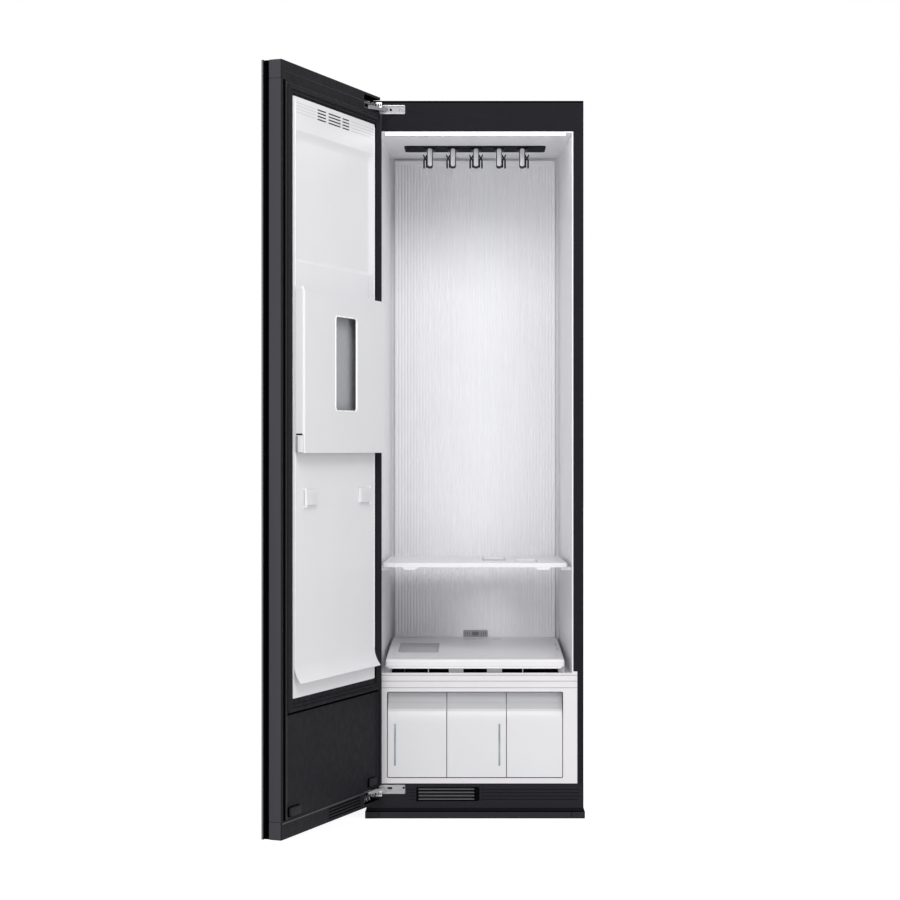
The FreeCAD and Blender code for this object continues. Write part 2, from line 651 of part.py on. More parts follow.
def plinth_grille():
    """Black kick panel: a louvre with four slats, and fine lines that carry on beside it."""
    panel = block((-INSIDE, INSIDE), (0, PLINTH_T), (SKIRT_TOP, PLINTH_TOP))
    panel = panel.cut([rounded(LOUVRE_X, (-1, PLINTH_T + 1), LOUVRE_Z, 3, "y")] + screw_holes())
    heights = slat_heights(LOUVRE_Z, LOUVRE_SLATS)
    lines = [block(PLINTH_LINE_X, (-1, PLINTH_LINE_DEEP), (z - PLINTH_LINE_H / 2,
                                                           z + PLINTH_LINE_H / 2))
             for z in heights]
    panel = panel.cut(lines)
    lean = 2.5 * SLAT_HEIGHT
    slats = [prism([(0.5, z - SLAT_HEIGHT / 2), (0.5, z + SLAT_HEIGHT / 2),
                    (lean, z + 1.5 * SLAT_HEIGHT), (lean, z + SLAT_HEIGHT / 2)],
                   "x", LOUVRE_X[0] - 2, LOUVRE_X[1] + 2) for z in heights]
    ends = [block((x - 2, x + 2), (PLINTH_T, lean), LOUVRE_Z) for x in
            (LOUVRE_X[0] - 2, LOUVRE_X[1] + 2)]
    return join(panel, *slats, *ends)


# ---------------------------------------------------------------- hanging space
def liner_room(front, low, high):
    """Plan of the hanging space with its round back corners, from one height to another."""
    room = prism(cavity_outline(0, front), "z", low, high)
    corners = [e for e in edges_along(room, "z") if e.CenterOfMass.y > CAVITY_DEPTH / 2]
    return room.makeFillet(CAVITY_CORNER_R, corners)


def cabinet_liner():
    """White moulded side walls and back wall, narrower at the back and open at the front."""
    low = CAVITY_FLOOR - LINER_T
    outer = prism(cavity_outline(LINER_T, 0), "z", low, BEAM_Z)
    sill = block((-CASE_WIDTH, CASE_WIDTH), (-1, FASCIA_DEPTH), (0, FASCIA_TOP))
    shell = outer.cut([liner_room(-1, low - 1, BEAM_Z + 1), sill])
    back = block((-CASE_WIDTH, CASE_WIDTH), (CAVITY_DEPTH - CAVITY_CORNER_R, CASE_DEPTH),
                 (0, CASE_HEIGHT))
    return group(shell.common(back).Solids + shell.cut(back).Solids)


def liner_ceiling():
    """White ceiling between the liner's walls, slotted for the hooks' stems."""
    stems = [stem_room(x, CEILING_Z - 1, BEAM_Z + 1, 2) for x in HOOK_XS]
    return liner_room(0, CEILING_Z, BEAM_Z).cut(stems)


def liner_floor():
    """White floor between the liner's walls, under the tray."""
    low = CAVITY_FLOOR - LINER_T
    return liner_room(FASCIA_DEPTH, low, CAVITY_FLOOR).cut(floor_windows())


def stem_room(x, low, high, extra=0):
    """Slot that lets a hook's stem shake from side to side."""
    half = STEM_WIDTH / 2 + STROKE + 5 * SLIDE_GAP + extra
    deep = STEM_DEPTH / 2 + 5 * SLIDE_GAP + extra
    return block((x - half, x + half), (HOOK_Y - deep, HOOK_Y + deep), (low, high))


def floor_windows():
    """Openings in the liner's floor: return air at the front, blown air and steam behind."""
    low, high = CAVITY_FLOOR - LINER_T - 1, CAVITY_FLOOR + 1
    air = block((-0.8 * TRAY_HALF, 0.8 * TRAY_HALF), (DIVIDER_Y[1] + 20, EVAPORATOR_Y[0] - 40),
                (low, high))
    blown = block(blower_mouth_x(), blower_mouth_y(), (low, high))
    steam = rod(steam_xy(), HOSE_R, low, high)
    return [air, blown, steam]


def steam_xy():
    return ((GRILLE_X[0] + GRILLE_X[1]) / 2, (GRILLE_Y[0] + GRILLE_Y[1]) / 2)


def back_duct_panel():
    """Back wall with upright flutes inside a plain border, and a pocket for the cartridge."""
    half = wall_half(CAVITY_DEPTH) - CAVITY_CORNER_R
    panel = block((-half, half), (BACK_PANEL_Y, CAVITY_DEPTH), BACK_PANEL_Z)
    deep = BACK_PANEL_Y + FLUTE_RECESS
    skin = deep + FLUTE_DEEP + LINER_T
    duct = block((-half + 2 * LINER_T, half - 2 * LINER_T), (skin, CAVITY_DEPTH + 1),
                 (BACK_PANEL_Z[0] + 2 * LINER_T, BACK_PANEL_Z[1] - 2 * LINER_T))
    count = int(2 * (half - FLUTE_SIDE) / FLUTE_PITCH)
    start = -count * FLUTE_PITCH / 2
    points = [(start, BACK_PANEL_Y - 1)]
    for i in range(count):
        x = start + i * FLUTE_PITCH
        points.append((x, deep))
        points.append((x + 0.3 * FLUTE_PITCH, deep + FLUTE_DEEP))
        points.append((x + 0.7 * FLUTE_PITCH, deep + FLUTE_DEEP))
    points.append((-start, deep))
    points.append((-start, BACK_PANEL_Y - 1))
    flutes = prism(points, "z", FLUTE_Z[0], FLUTE_Z[1])
    boss = block((CARTRIDGE_X[0] - 6, CARTRIDGE_X[1] + 6), (BACK_PANEL_Y, CAVITY_DEPTH),
                 (BACK_PANEL_Z[0] + 1, CARTRIDGE_Z[1] + 6))
    grow = SLIDE_GAP
    pocket = rounded((CARTRIDGE_X[0] - grow, CARTRIDGE_X[1] + grow),
                     (BACK_PANEL_Y - 1, BACK_PANEL_Y + CARTRIDGE_DEEP),
                     (CARTRIDGE_Z[0] - grow, CARTRIDGE_Z[1] + grow), CARTRIDGE_R, "y")
    return join(panel.cut([flutes, duct]), boss).cut(pocket)


def aroma_cartridge():
    """Fragrance holder that pulls out of the back wall."""
    return rounded(CARTRIDGE_X, (BACK_PANEL_Y - CARTRIDGE_PROUD,
                                 BACK_PANEL_Y + CARTRIDGE_DEEP - SLIDE_GAP),
                   CARTRIDGE_Z, CARTRIDGE_R, "y")


def light_bar():
    return rounded(LIGHT_BAR_X, LIGHT_BAR_Y, (CEILING_Z - LIGHT_BAR_T, CEILING_Z), 2.5, "x")


def hanger_slot_plate():
    plate = rounded((-SLOT_PLATE_HALF, SLOT_PLATE_HALF), SLOT_PLATE_Y, (PLATE_Z, CEILING_Z),
                    SLOT_PLATE_R)
    return plate.cut([stem_room(x, PLATE_Z - 1, CEILING_Z + 1) for x in HOOK_XS])


def fork_sides(index):
    """Which sides of a hook carry a fork: outer hooks face outward, the middle one both ways."""
    middle = (HOOK_COUNT - 1) / 2
    if index < middle:
        return (-1,)
    return (1,) if index > middle else (-1, 1)


def hook(index):
    """Drop hook: boss, flat body with a round foot, a stem, and a fork for the hanger wire."""
    x = HOOK_XS[index]
    half, deep = HOOK_WIDTH / 2, HOOK_DEPTH / 2
    top = PLATE_Z - SLIDE_GAP
    foot_z = top - HOOK_DROP
    body = rounded((x - half, x + half), (HOOK_Y - deep, HOOK_Y + deep), (foot_z, top), 3.5, "y")
    face = block((x - HOOK_FACE_WIDTH / 2, x + HOOK_FACE_WIDTH / 2),
                 (HOOK_Y - deep - 1, HOOK_Y - deep + HOOK_FACE_T), (foot_z + 4, top - 2))
    boss = rounded((x - HOOK_BOSS / 2, x + HOOK_BOSS / 2),
                   (HOOK_Y - deep + 1.5, HOOK_Y + deep + 4), (top - HOOK_BOSS_T, top), 4)
    stem = block((x - STEM_WIDTH / 2, x + STEM_WIDTH / 2),
                 (HOOK_Y - STEM_DEPTH / 2, HOOK_Y + STEM_DEPTH / 2), (top - 1, CARRIAGE_Z))
    parts = [body, boss, stem]
    for side in fork_sides(index):
        parts.append(fork(x, side, foot_z))
    return join(*parts).cut(face)


def fork(x, side, foot_z):
    """Arm beside the hook body; the hanger's wire hangs in the crotch over its bridge."""
    near, far = HOOK_WIDTH / 2 + FORK_GAP, HOOK_WIDTH / 2 + FORK_GAP + FORK_ARM
    low, high = foot_z + 1, foot_z + 1 + FORK_DROP
    middle = high - 14
    y = (HOOK_Y - 4, HOOK_Y + 4)
    inner = HOOK_WIDTH / 2 - 1

    def at(points):
        return [(x + side * a, b) for a, b in points]

    arm = at([(near, low), (far, low), (far, middle - 4), (far - 2, middle), (far + 1, high),
              (far - 2, high), (near - 1, middle)])
    bridge = at([(inner, middle - 8), (near + 1, middle - 6), (near + 1, middle - 1),
                 (inner, middle + 3)])
    return join(prism(arm, "y", *y), prism(bridge, "y", *y))


def hanger_hooks():
    return group([hook(i) for i in range(HOOK_COUNT)])


def hook_faces():
    """Bright strips let into the hooks' fronts."""
    front = HOOK_Y - HOOK_DEPTH / 2
    top = PLATE_Z - SLIDE_GAP
    return group([rounded((x - HOOK_FACE_WIDTH / 2, x + HOOK_FACE_WIDTH / 2),
                          (front - 0.4, front + HOOK_FACE_T), (top - HOOK_DROP + 4, top - 2), 1.5, "y")
                  for x in HOOK_XS])


# ---------------------------------------------------------------- hanger drive over the ceiling
def yoke_room():
    """Half sizes of the window that the cam shakes the carriage through."""
    return (CAM_R + CAM_THROW + STROKE + 1, CAM_R + CAM_THROW + 1)


def carriage_reach():
    return HOOK_XS[-1] - HOOK_MID_X + STEM_WIDTH / 2 + STROKE + GUIDE_PAD + 12


def drive_base():
    """Steel plate on the liner's ceiling with guides for the carriage and a post for the cam."""
    reach = carriage_reach() + STROKE + 4
    half_y = STEM_DEPTH / 2 + 10
    plate = block((-reach, reach), (HOOK_Y - half_y - 14, DRIVE_BACK_Y), (BEAM_Z, DRIVE_Z))
    plate = plate.cut([stem_room(x, BEAM_Z - 1, DRIVE_Z + 1, 2) for x in HOOK_XS])
    guides = []
    top = CARRIAGE_Z + CARRIAGE_T
    for side in (-1, 1):
        x = HOOK_MID_X + side * (carriage_reach() - GUIDE_PAD / 2)
        for y in (HOOK_Y - half_y - 4, HOOK_Y + half_y):
            guides.append(block((x - GUIDE_PAD / 2, x + GUIDE_PAD / 2), (y, y + 4), (DRIVE_Z, top)))
        guides.append(block((x - GUIDE_PAD / 2, x + GUIDE_PAD / 2),
                            (HOOK_Y - half_y, HOOK_Y + half_y),
                            (DRIVE_Z, CARRIAGE_Z - SLIDE_GAP)))
    post = rod((HOOK_MID_X, CAM_Y), POST_R, DRIVE_Z, PULLEY_Z + PULLEY_T + 3)
    collar = rod((HOOK_MID_X, CAM_Y), POST_R + 4, DRIVE_Z, CARRIAGE_Z - 3 * SLIDE_GAP)
    return join(plate, *guides, post, collar)


def hanger_carriage():
    """Bar that carries the five stems, with the yoke that the cam works in."""
    reach = carriage_reach()
    deep = STEM_DEPTH / 2 + 10 - SLIDE_GAP
    bar = block((HOOK_MID_X - reach, HOOK_MID_X + reach), (HOOK_Y - deep, HOOK_Y + deep),
                (CARRIAGE_Z, CARRIAGE_Z + CARRIAGE_T))
    room_x, room_y = yoke_room()
    rim = 9.0
    yoke = block((HOOK_MID_X - room_x - rim, HOOK_MID_X + room_x + rim),
                 (HOOK_Y, CAM_Y + room_y + rim), (CARRIAGE_Z, CARRIAGE_Z + CARRIAGE_T))
    window = block((HOOK_MID_X - room_x, HOOK_MID_X + room_x), (CAM_Y - room_y, CAM_Y + room_y),
                   (CARRIAGE_Z - 1, CARRIAGE_Z + CARRIAGE_T + 1))
    return join(bar, yoke).cut(window)


def cam_pulley():
    """Large pulley on the post with the off-centre cam under it."""
    centre = (HOOK_MID_X, CAM_Y)
    wheel = rod(centre, CAM_PULLEY_R, PULLEY_Z, PULLEY_Z + PULLEY_T)
    cam = rod((HOOK_MID_X, CAM_Y - CAM_THROW), CAM_R, CARRIAGE_Z - 2 * SLIDE_GAP, PULLEY_Z)
    bore = rod(centre, POST_R + RUN_GAP, DRIVE_Z, PULLEY_Z + 2 * PULLEY_T)
    return join(wheel, cam).cut(bore)


def drive_motor():
    """Motor can on the drive plate, bored for the pulley's shaft."""
    centre = (MOTOR_X, CAM_Y)
    can = rod(centre, MOTOR_R, DRIVE_Z, PULLEY_Z - 4)
    neck = rod(centre, MOTOR_R / 2, PULLEY_Z - 5, PULLEY_Z - 5 * SLIDE_GAP)
    return join(can, neck).cut(rod(centre, MOTOR_SHAFT_R + RUN_GAP, DRIVE_Z + 3, PULLEY_Z))


def motor_pulley():
    centre = (MOTOR_X, CAM_Y)
    wheel = rod(centre, MOTOR_PULLEY_R, PULLEY_Z, PULLEY_Z + PULLEY_T)
    shaft = rod(centre, MOTOR_SHAFT_R, DRIVE_Z + 5, PULLEY_Z)
    return join(wheel, shaft)


def belt_loop(grow):
    """Outline round both pulleys, a set distance out from their rims."""
    span = MOTOR_X - HOOK_MID_X
    big, small = CAM_PULLEY_R + grow, MOTOR_PULLEY_R + grow
    lean = math.acos((big - small) / span)
    z = PULLEY_Z + PULLEY_T * 0.15

    def at(x, radius, angle):
        return V(x + radius * math.cos(angle), CAM_Y + radius * math.sin(angle), z)

    big_a, big_b = at(HOOK_MID_X, big, lean), at(HOOK_MID_X, big, -lean)
    small_a, small_b = at(MOTOR_X, small, lean), at(MOTOR_X, small, -lean)
    far = Part.Arc(big_a, at(HOOK_MID_X, big, math.pi), big_b).toShape()
    near = Part.Arc(small_b, at(MOTOR_X, small, 0), small_a).toShape()
    return Part.Wire([far, line(big_b, small_b), near, line(small_a, big_a)])


def drive_belt():
    height = V(0, 0, 0.7 * PULLEY_T)
    outer = Part.Face(belt_loop(SLIDE_GAP + BELT_T)).extrude(height)
    return outer.cut(Part.Face(belt_loop(SLIDE_GAP)).extrude(height))


# ---------------------------------------------------------------- shelf and floor
def shelf():
    """Slide-out shelf with a turned-down rim, finger tabs and two slots to hang ties through."""
    y0, y1 = SHELF_Y
    low = SHELF_TOP - SHELF_LIP

    def plan(inset):
        return [(-SHELF_HALF + inset, y0 + inset), (SHELF_HALF - inset, y0 + inset),
                (SHELF_HALF - SHELF_TAPER - inset, y1 - inset),
                (-SHELF_HALF + SHELF_TAPER + inset, y1 - inset)]

    body = prism(plan(0), "z", low, SHELF_TOP)
    upright = edges_along(body, "z")
    body = body.makeFillet(6, upright)
    room = prism(plan(SHELF_RIM), "z", low - 1, SHELF_TOP - SHELF_T)
    tabs = []
    for tab in TAB_X:
        tabs.append(prism([(tab[0], low), (tab[1], low), (tab[1] - 8, low - SHELF_TAB_DROP),
                           (tab[0] + 8, low - SHELF_TAB_DROP)], "y", y0 + 0.5, y0 + 4))
    slots = [rounded(x, y, (low - 1, SHELF_TOP + 1), TIE_SLOT_R) for x, y in TIE_SLOTS]
    return join(body.cut(room), *tabs).cut(slots)


def shelf_rails():
    """Ledges on the side walls that the shelf slides on."""
    y0, y1 = SHELF_Y
    top = SHELF_TOP - SHELF_LIP - SLIDE_GAP
    right = prism([(RAIL_INNER, y0 + 8), (wall_half(y0 + 8), y0 + 8),
                   (wall_half(y1 + 8), y1 + 8), (RAIL_INNER, y1 + 8)],
                  "z", top - RAIL_HEIGHT, top)
    return group([right, mirror_x(right)])


def tray_slope():
    return math.degrees(math.atan2(TRAY_RISE_Z - TRAY_LIP_Z[1], TRAY_BACK - TRAY_FRONT))


def on_tray(shape):
    """Shapes drawn level with the lip's top are tipped onto the sloping tray."""
    shape.rotate(V(0, TRAY_FRONT, TRAY_LIP_Z[1]), AXES["x"], tray_slope())
    return shape


def tray_profile(inset):
    low, lip = TRAY_LIP_Z
    return [(TRAY_FRONT + inset, low - (1 if inset else 0)), (TRAY_FRONT + inset, lip - inset),
            (TRAY_BACK - inset, TRAY_RISE_Z - inset), (TRAY_BACK - inset, low - (1 if inset else 0))]


def floor_tray():
    """Sloping floor with a rounded front lip, side legs and dividers in the air gap below."""
    body = prism(tray_profile(0), "x", -TRAY_HALF, TRAY_HALF)
    front_edges = [e for e in edges_along(body, "x") if e.CenterOfMass.y < TRAY_FRONT + 1]
    body = body.makeFillet(TRAY_LIP_R, front_edges)
    upright = [e for e in edges_along(body, "z") if e.CenterOfMass.y < TRAY_FRONT + 1]
    body = body.makeFillet(TRAY_LIP_R, upright)
    room = prism(tray_profile(TRAY_WALL), "x", -TRAY_HALF + TRAY_WALL, TRAY_HALF - TRAY_WALL)
    seat = on_tray(block(GRILLE_X, GRILLE_Y, (TRAY_LIP_Z[1] - 2 * TRAY_WALL, TRAY_LIP_Z[1] + 1)))
    groove_x, half_w = TRAY_HALF - GROOVE_IN, GROOVE_WIDTH / 2
    grooves = [on_tray(block((s * groove_x - half_w, s * groove_x + half_w),
                             (TRAY_FRONT + GROOVE_SHORT, TRAY_BACK - GROOVE_SHORT),
                             (TRAY_LIP_Z[1] - GROOVE_DEEP, TRAY_LIP_Z[1] + 1))) for s in (-1, 1)]
    body = body.cut([room, seat] + grooves)
    leg_x = TRAY_HALF - TRAY_LEG_W / 2
    legs = [block((s * leg_x - TRAY_LEG_W / 2, s * leg_x + TRAY_LEG_W / 2), (DIVIDER_Y[0], TRAY_BACK),
                  (CAVITY_FLOOR, TRAY_LIP_Z[0] + TRAY_WALL)) for s in (-1, 1)]
    dividers = [block(x, DIVIDER_Y, (CAVITY_FLOOR, TRAY_LIP_Z[1] - TRAY_WALL / 2)) for x in DIVIDERS]
    return join(body, *legs, *dividers)


def steam_grille():
    """Louvred cover over the steam outlet, let into the tray."""
    top = TRAY_LIP_Z[1]
    frame = block(GRILLE_X, GRILLE_Y, (top - GRILLE_T, top))
    pitch = (GRILLE_Y[1] - GRILLE_Y[0]) / GRILLE_SLATS
    slots = [block((GRILLE_X[0] + 6, GRILLE_X[1] - 6),
                   (GRILLE_Y[0] + pitch * (i + 0.25), GRILLE_Y[0] + pitch * (i + 0.75)),
                   (top - GRILLE_T - 1, top + 1)) for i in range(GRILLE_SLATS)]
    return on_tray(frame.cut(slots))


# ---------------------------------------------------------------- fascia and modules
def bay_x():
    return (MODULE_X[0] - MODULE_GAP, MODULE_X[-1] + MODULE_GAP)


def bay_z():
    return (MODULE_Z[0] - MODULE_GAP, MODULE_Z[1] + MODULE_GAP)


def fascia_frame():
    """White frame round the three modules, with a low sill between two taller side strips."""
    lines = [block((-FASCIA_HALF - 1, FASCIA_HALF + 1), (-1, FASCIA_LINE_DEEP),
                   (z, z + FASCIA_LINE_H)) for z in FASCIA_LINES]
    window = block(bay_x(), (-1, FASCIA_DEPTH + 1), bay_z())
    middle = block((-LINER_HALF, LINER_HALF), (0, FASCIA_DEPTH), (PLINTH_TOP, SILL_Z))
    strip = block((LINER_HALF, FASCIA_HALF), (0, FASCIA_DEPTH), (PLINTH_TOP, FASCIA_TOP))
    return group([piece.cut(lines + [window]) for piece in (middle, strip, mirror_x(strip))])


def tank_bay():
    """Open-fronted box behind the fascia with a thin wall between the modules."""
    x, z = bay_x(), bay_z()
    outer = block((x[0] - BAY_WALL, x[1] + BAY_WALL), (FASCIA_DEPTH, BAY_BACK),
                  (z[0] - BAY_WALL, z[1] + BAY_WALL))
    inner = block(x, (FASCIA_DEPTH - 1, BAY_BACK - BAY_WALL), z)
    walls = [block((m - BAY_WALL / 2, m + BAY_WALL / 2),
                   (MODULE_FRONT_T + BAY_WALL, BAY_BACK - BAY_WALL / 2), z)
             for m in MODULE_X[1:-1]]
    leg_x = BAY_HALF - BAY_LEG_IN
    legs = [block((s * leg_x - BAY_LEG_W / 2, s * leg_x + BAY_LEG_W / 2),
                  (FASCIA_DEPTH + BAY_LEG_W, BAY_BACK - BAY_LEG_W), (PAN_TOP, z[0] - BAY_WALL))
            for s in (-1, 1)]
    return join(outer.cut(inner), *walls, *legs)


def module_front(x):
    """Front whose upper part curves back into a hand recess."""
    y0, y1 = 0.0, RECESS_DEEP
    z0, z1 = RECESS_Z
    rise, run = (z1 - z0) / 2, (y1 - y0) / 2
    radius = (rise ** 2 + run ** 2) / (2 * run)
    turn = math.asin(rise / radius)
    cos_half, sin_half = math.cos(turn / 2), math.sin(turn / 2)
    low, high = MODULE_Z
    at = lambda y, z: V(x[0], y, z)
    middle = at(y0 + run, z0 + rise)
    lower = Part.Arc(at(y0, z0), at(y0 + radius * (1 - cos_half), z0 + radius * sin_half), middle)
    upper = Part.Arc(middle, at(y1 - radius * (1 - cos_half), z1 - radius * sin_half), at(y1, z1))
    outline = [line(at(y0, low), at(y0, z0)), lower.toShape(), upper.toShape(),
               line(at(y1, z1), at(y1, high)), line(at(y1, high), at(MODULE_FRONT_T, high)),
               line(at(MODULE_FRONT_T, high), at(MODULE_FRONT_T, low)),
               line(at(MODULE_FRONT_T, low), at(y0, low))]
    return section_x(outline, x[0], x[1])


def module_shell(index):
    """Front and open-topped tub of one pull-out module."""
    x = (MODULE_X[index] + MODULE_GAP, MODULE_X[index + 1] - MODULE_GAP)
    tub_x = (x[0] + MODULE_SIDE_GAP, x[1] - MODULE_SIDE_GAP)
    tub_z = (bay_z()[0] + SLIDE_GAP, MODULE_Z[1] - 4 * MODULE_WALL)
    tub_y = (MODULE_FRONT_T, FASCIA_DEPTH + MODULE_DEPTH - MODULE_WALL)
    tub = block(tub_x, tub_y, tub_z)
    room = block((tub_x[0] + MODULE_WALL, tub_x[1] - MODULE_WALL),
                 (tub_y[0], tub_y[1] - MODULE_WALL), (tub_z[0] + MODULE_WALL, tub_z[1] + 1))
    body = join(module_front(x), tub.cut(room))
    return body, tub_x, tub_y, tub_z


def window_x(index):
    """Level window: near the outer edge on the first tank, near the inner edge on the second."""
    if index == 0:
        low = MODULE_X[0] + WINDOW_INSET[0]
        return (low, low + WINDOW_WIDTH)
    high = MODULE_X[2] - WINDOW_INSET[1]
    return (high - WINDOW_WIDTH, high)


def water_tank(index):
    """Module with a lid on its tub, a filler cap and a slot for the level window."""
    body, tub_x, tub_y, tub_z = module_shell(index)
    body = body.cut(block(window_x(index), (-1, WINDOW_DEEP), WINDOW_Z))
    lid = block(tub_x, (tub_y[0], tub_y[1]), (tub_z[1], tub_z[1] + MODULE_WALL))
    cap_at = ((tub_x[0] + tub_x[1]) / 2, tub_y[0] + CAP_BACK)
    cap = rod(cap_at, CAP_R, tub_z[1] + MODULE_WALL, tub_z[1] + MODULE_WALL + CAP_H)
    return group([body, join(lid, cap)])


def level_window(index):
    return rounded(window_x(index), (0.2, WINDOW_DEEP), WINDOW_Z, 1, "y")


def accessory_drawer():
    return module_shell(2)[0]


# ---------------------------------------------------------------- hinges
def hinge_bracket(z):
    """Plate on the case front with a cranked tongue that ends in the pin's barrel."""
    low, high = HINGE_PLATE_X
    half = HINGE_PLATE_H / 2
    plate = rounded((low, high), (-HINGE_PLATE_T, 0), (z - half, z + half), 3, "y")
    mouth = HINGE_PLATE_X[0] + 26
    tongue = prism([(low, -HINGE_PLATE_T / 2), (low, -8), (HINGE_X - 2, HINGE_Y - 4),
                    (HINGE_X + 5, HINGE_Y - 5), (low + 10, -16), (mouth, -HINGE_PLATE_T / 2)],
                   "z", z - HINGE_TONGUE / 2, z + HINGE_TONGUE / 2)
    barrel = rod((HINGE_X, HINGE_Y), HINGE_BARREL_R, z - HINGE_TONGUE / 2, z + HINGE_TONGUE / 2)
    reach = HINGE_TONGUE / 2 + SLIDE_GAP + HINGE_LEAF
    pin = rod((HINGE_X, HINGE_Y), HINGE_PIN_R, z - reach, z + reach)
    return join(plate, tongue, barrel, pin).cut(screw_holes())


def hinge_brackets():
    return group([hinge_bracket(z) for z in HINGE_ZS])


def hinge_screws():
    screws = []
    for x, z in screw_spots():
        shank = rod((x, z), SCREW_R, -HINGE_PLATE_T, SCREW_LENGTH, "y")
        head = rod((x, z), SCREW_HEAD_R, -HINGE_PLATE_T - SCREW_HEAD_T, -HINGE_PLATE_T, "y")
        screws.append(join(shank, head))
    return group(screws)


def hinge_arm(z):
    """Door half of a hinge: a cup in the door's pocket and two leaves round the pin."""
    floor_y = FRAME_IN_Y - HINGE_POCKET_DEEP
    cup_x = (door_x(HINGE_CUP_U), door_x(HINGE_POCKET_U - 1))
    half = HINGE_TONGUE / 2 + SLIDE_GAP + HINGE_LEAF
    cup = block(cup_x, (floor_y, floor_y + 22), (z - half, z + half))
    leaves = []
    for side in (-1, 1):
        near = z + side * (HINGE_TONGUE / 2 + SLIDE_GAP)
        far = near + side * HINGE_LEAF
        span = (min(near, far), max(near, far))
        leaf = prism([(HINGE_X, HINGE_Y + HINGE_BARREL_R), (cup_x[0] + 2, floor_y + 16),
                      (cup_x[0] + 2, floor_y), (HINGE_X, HINGE_Y - HINGE_BARREL_R)],
                     "z", *span)
        leaves += [leaf, rod((HINGE_X, HINGE_Y), HINGE_BARREL_R, *span)]
    bore = rod((HINGE_X, HINGE_Y), HINGE_PIN_R + RUN_GAP, z - 2 * half, z + 2 * half)
    return join(cup, *leaves).cut(bore)


def hinge_arms():
    return group([hinge_arm(z) for z in HINGE_ZS])


def hinge_pockets():
    """Corner cut-outs that let the tongue fold into the door and clear its edge."""
    half = HINGE_POCKET_H / 2
    return [block((-CASE_WIDTH, door_x(HINGE_POCKET_U)),
                  (FRAME_IN_Y - HINGE_POCKET_DEEP, 1), (z - half, z + half)) for z in HINGE_ZS]


# ---------------------------------------------------------------- door
def door_glass():
    half = GLASS_WIDTH / 2
    return rounded((-half, half), (CARRIER_OUT_Y - GLASS_T, CARRIER_OUT_Y),
                   (DOOR_BOTTOM, CASE_HEIGHT), 2, "y")


def carrier_x():
    return (-GLASS_WIDTH / 2 + CARRIER_INSET, -HALF + FRAME_WIDTH - CARRIER_INSET)


def glass_carrier():
    """Black ring that holds the glass off the frame and leaves the finger groove."""
    x = carrier_x()
    z = (DOOR_BOTTOM + CARRIER_INSET, CASE_HEIGHT - CARRIER_INSET)
    body = block(x, (CARRIER_OUT_Y, FRAME_OUT_Y), z)
    web = CARRIER_RIM
    step = (z[1] - z[0] - web) / CARRIER_BAY_COUNT
    rooms = [block((x[0] + web, x[1] - web), (CARRIER_OUT_Y - 1, FRAME_OUT_Y + 1),
                   (z[0] + web + i * step, z[0] + (i + 1) * step)) for i in range(CARRIER_BAY_COUNT)]
    half = HINGE_POCKET_H / 2 + CARRIER_INSET
    pads = [block((x[0], door_x(HINGE_POCKET_U) + CARRIER_INSET), (CARRIER_OUT_Y, FRAME_OUT_Y),
                  (max(h - half, z[0]), min(h + half, z[1]))) for h in HINGE_ZS]
    return join(body.cut(rooms), *pads).cut(hinge_pockets())


def frame_x():
    return (-HALF, -HALF + FRAME_WIDTH)


def border_low():
    """Lower edge of the flat border that the gasket is fixed to."""
    return GASKET_Z[0] - GASKET_MARGIN


def stile(x, z):
    """Upright aluminium channel, open towards the glass."""
    wall = 2 * SHEET
    channel = block((x[0] + wall, x[1] - wall), (FRAME_OUT_Y - 1, FRAME_IN_Y - wall), z)
    return block(x, (FRAME_OUT_Y, FRAME_IN_Y), z).cut(channel)


def door_frame():
    """Two stiles between a top cap and a bottom trim with a louvre, and the gasket's border."""
    x = frame_x()
    y = (FRAME_OUT_Y, FRAME_IN_Y)
    low, high = DOOR_BOTTOM + BOTTOM_TRIM, CASE_HEIGHT - END_CAP
    stiles = [stile((x[0], x[0] + STILE), (low, high)), stile((x[1] - STILE, x[1]), (low, high))]
    border = block(inner_x(), (CORE_Y, FRAME_IN_Y), (border_low(), high))
    border = border.cut(block(door_span(DOOR_LINER_U), (CORE_Y - 1, 1), DOOR_LINER_Z))
    top = rounded(x, y, (high, CASE_HEIGHT), 3)
    bottom = rounded(x, y, (DOOR_BOTTOM, low), 3)
    slots = [block(door_span(TRIM_SLOT_U), (FRAME_IN_Y - 5, 0), (z, z + TRIM_SLOT_H))
             for z in TRIM_SLOT_Z]
    pieces = stiles + [top, bottom, border]
    return group([piece.cut(hinge_pockets() + slots) for piece in pieces])


def inner_x():
    x = frame_x()
    return (x[0] + STILE, x[1] - STILE)


def door_core():
    """Foam slab between the stiles."""
    slab = block(inner_x(), (FRAME_OUT_Y, CORE_Y), (DOOR_BOTTOM + BOTTOM_TRIM, CASE_HEIGHT - END_CAP))
    return slab.cut(hinge_pockets())


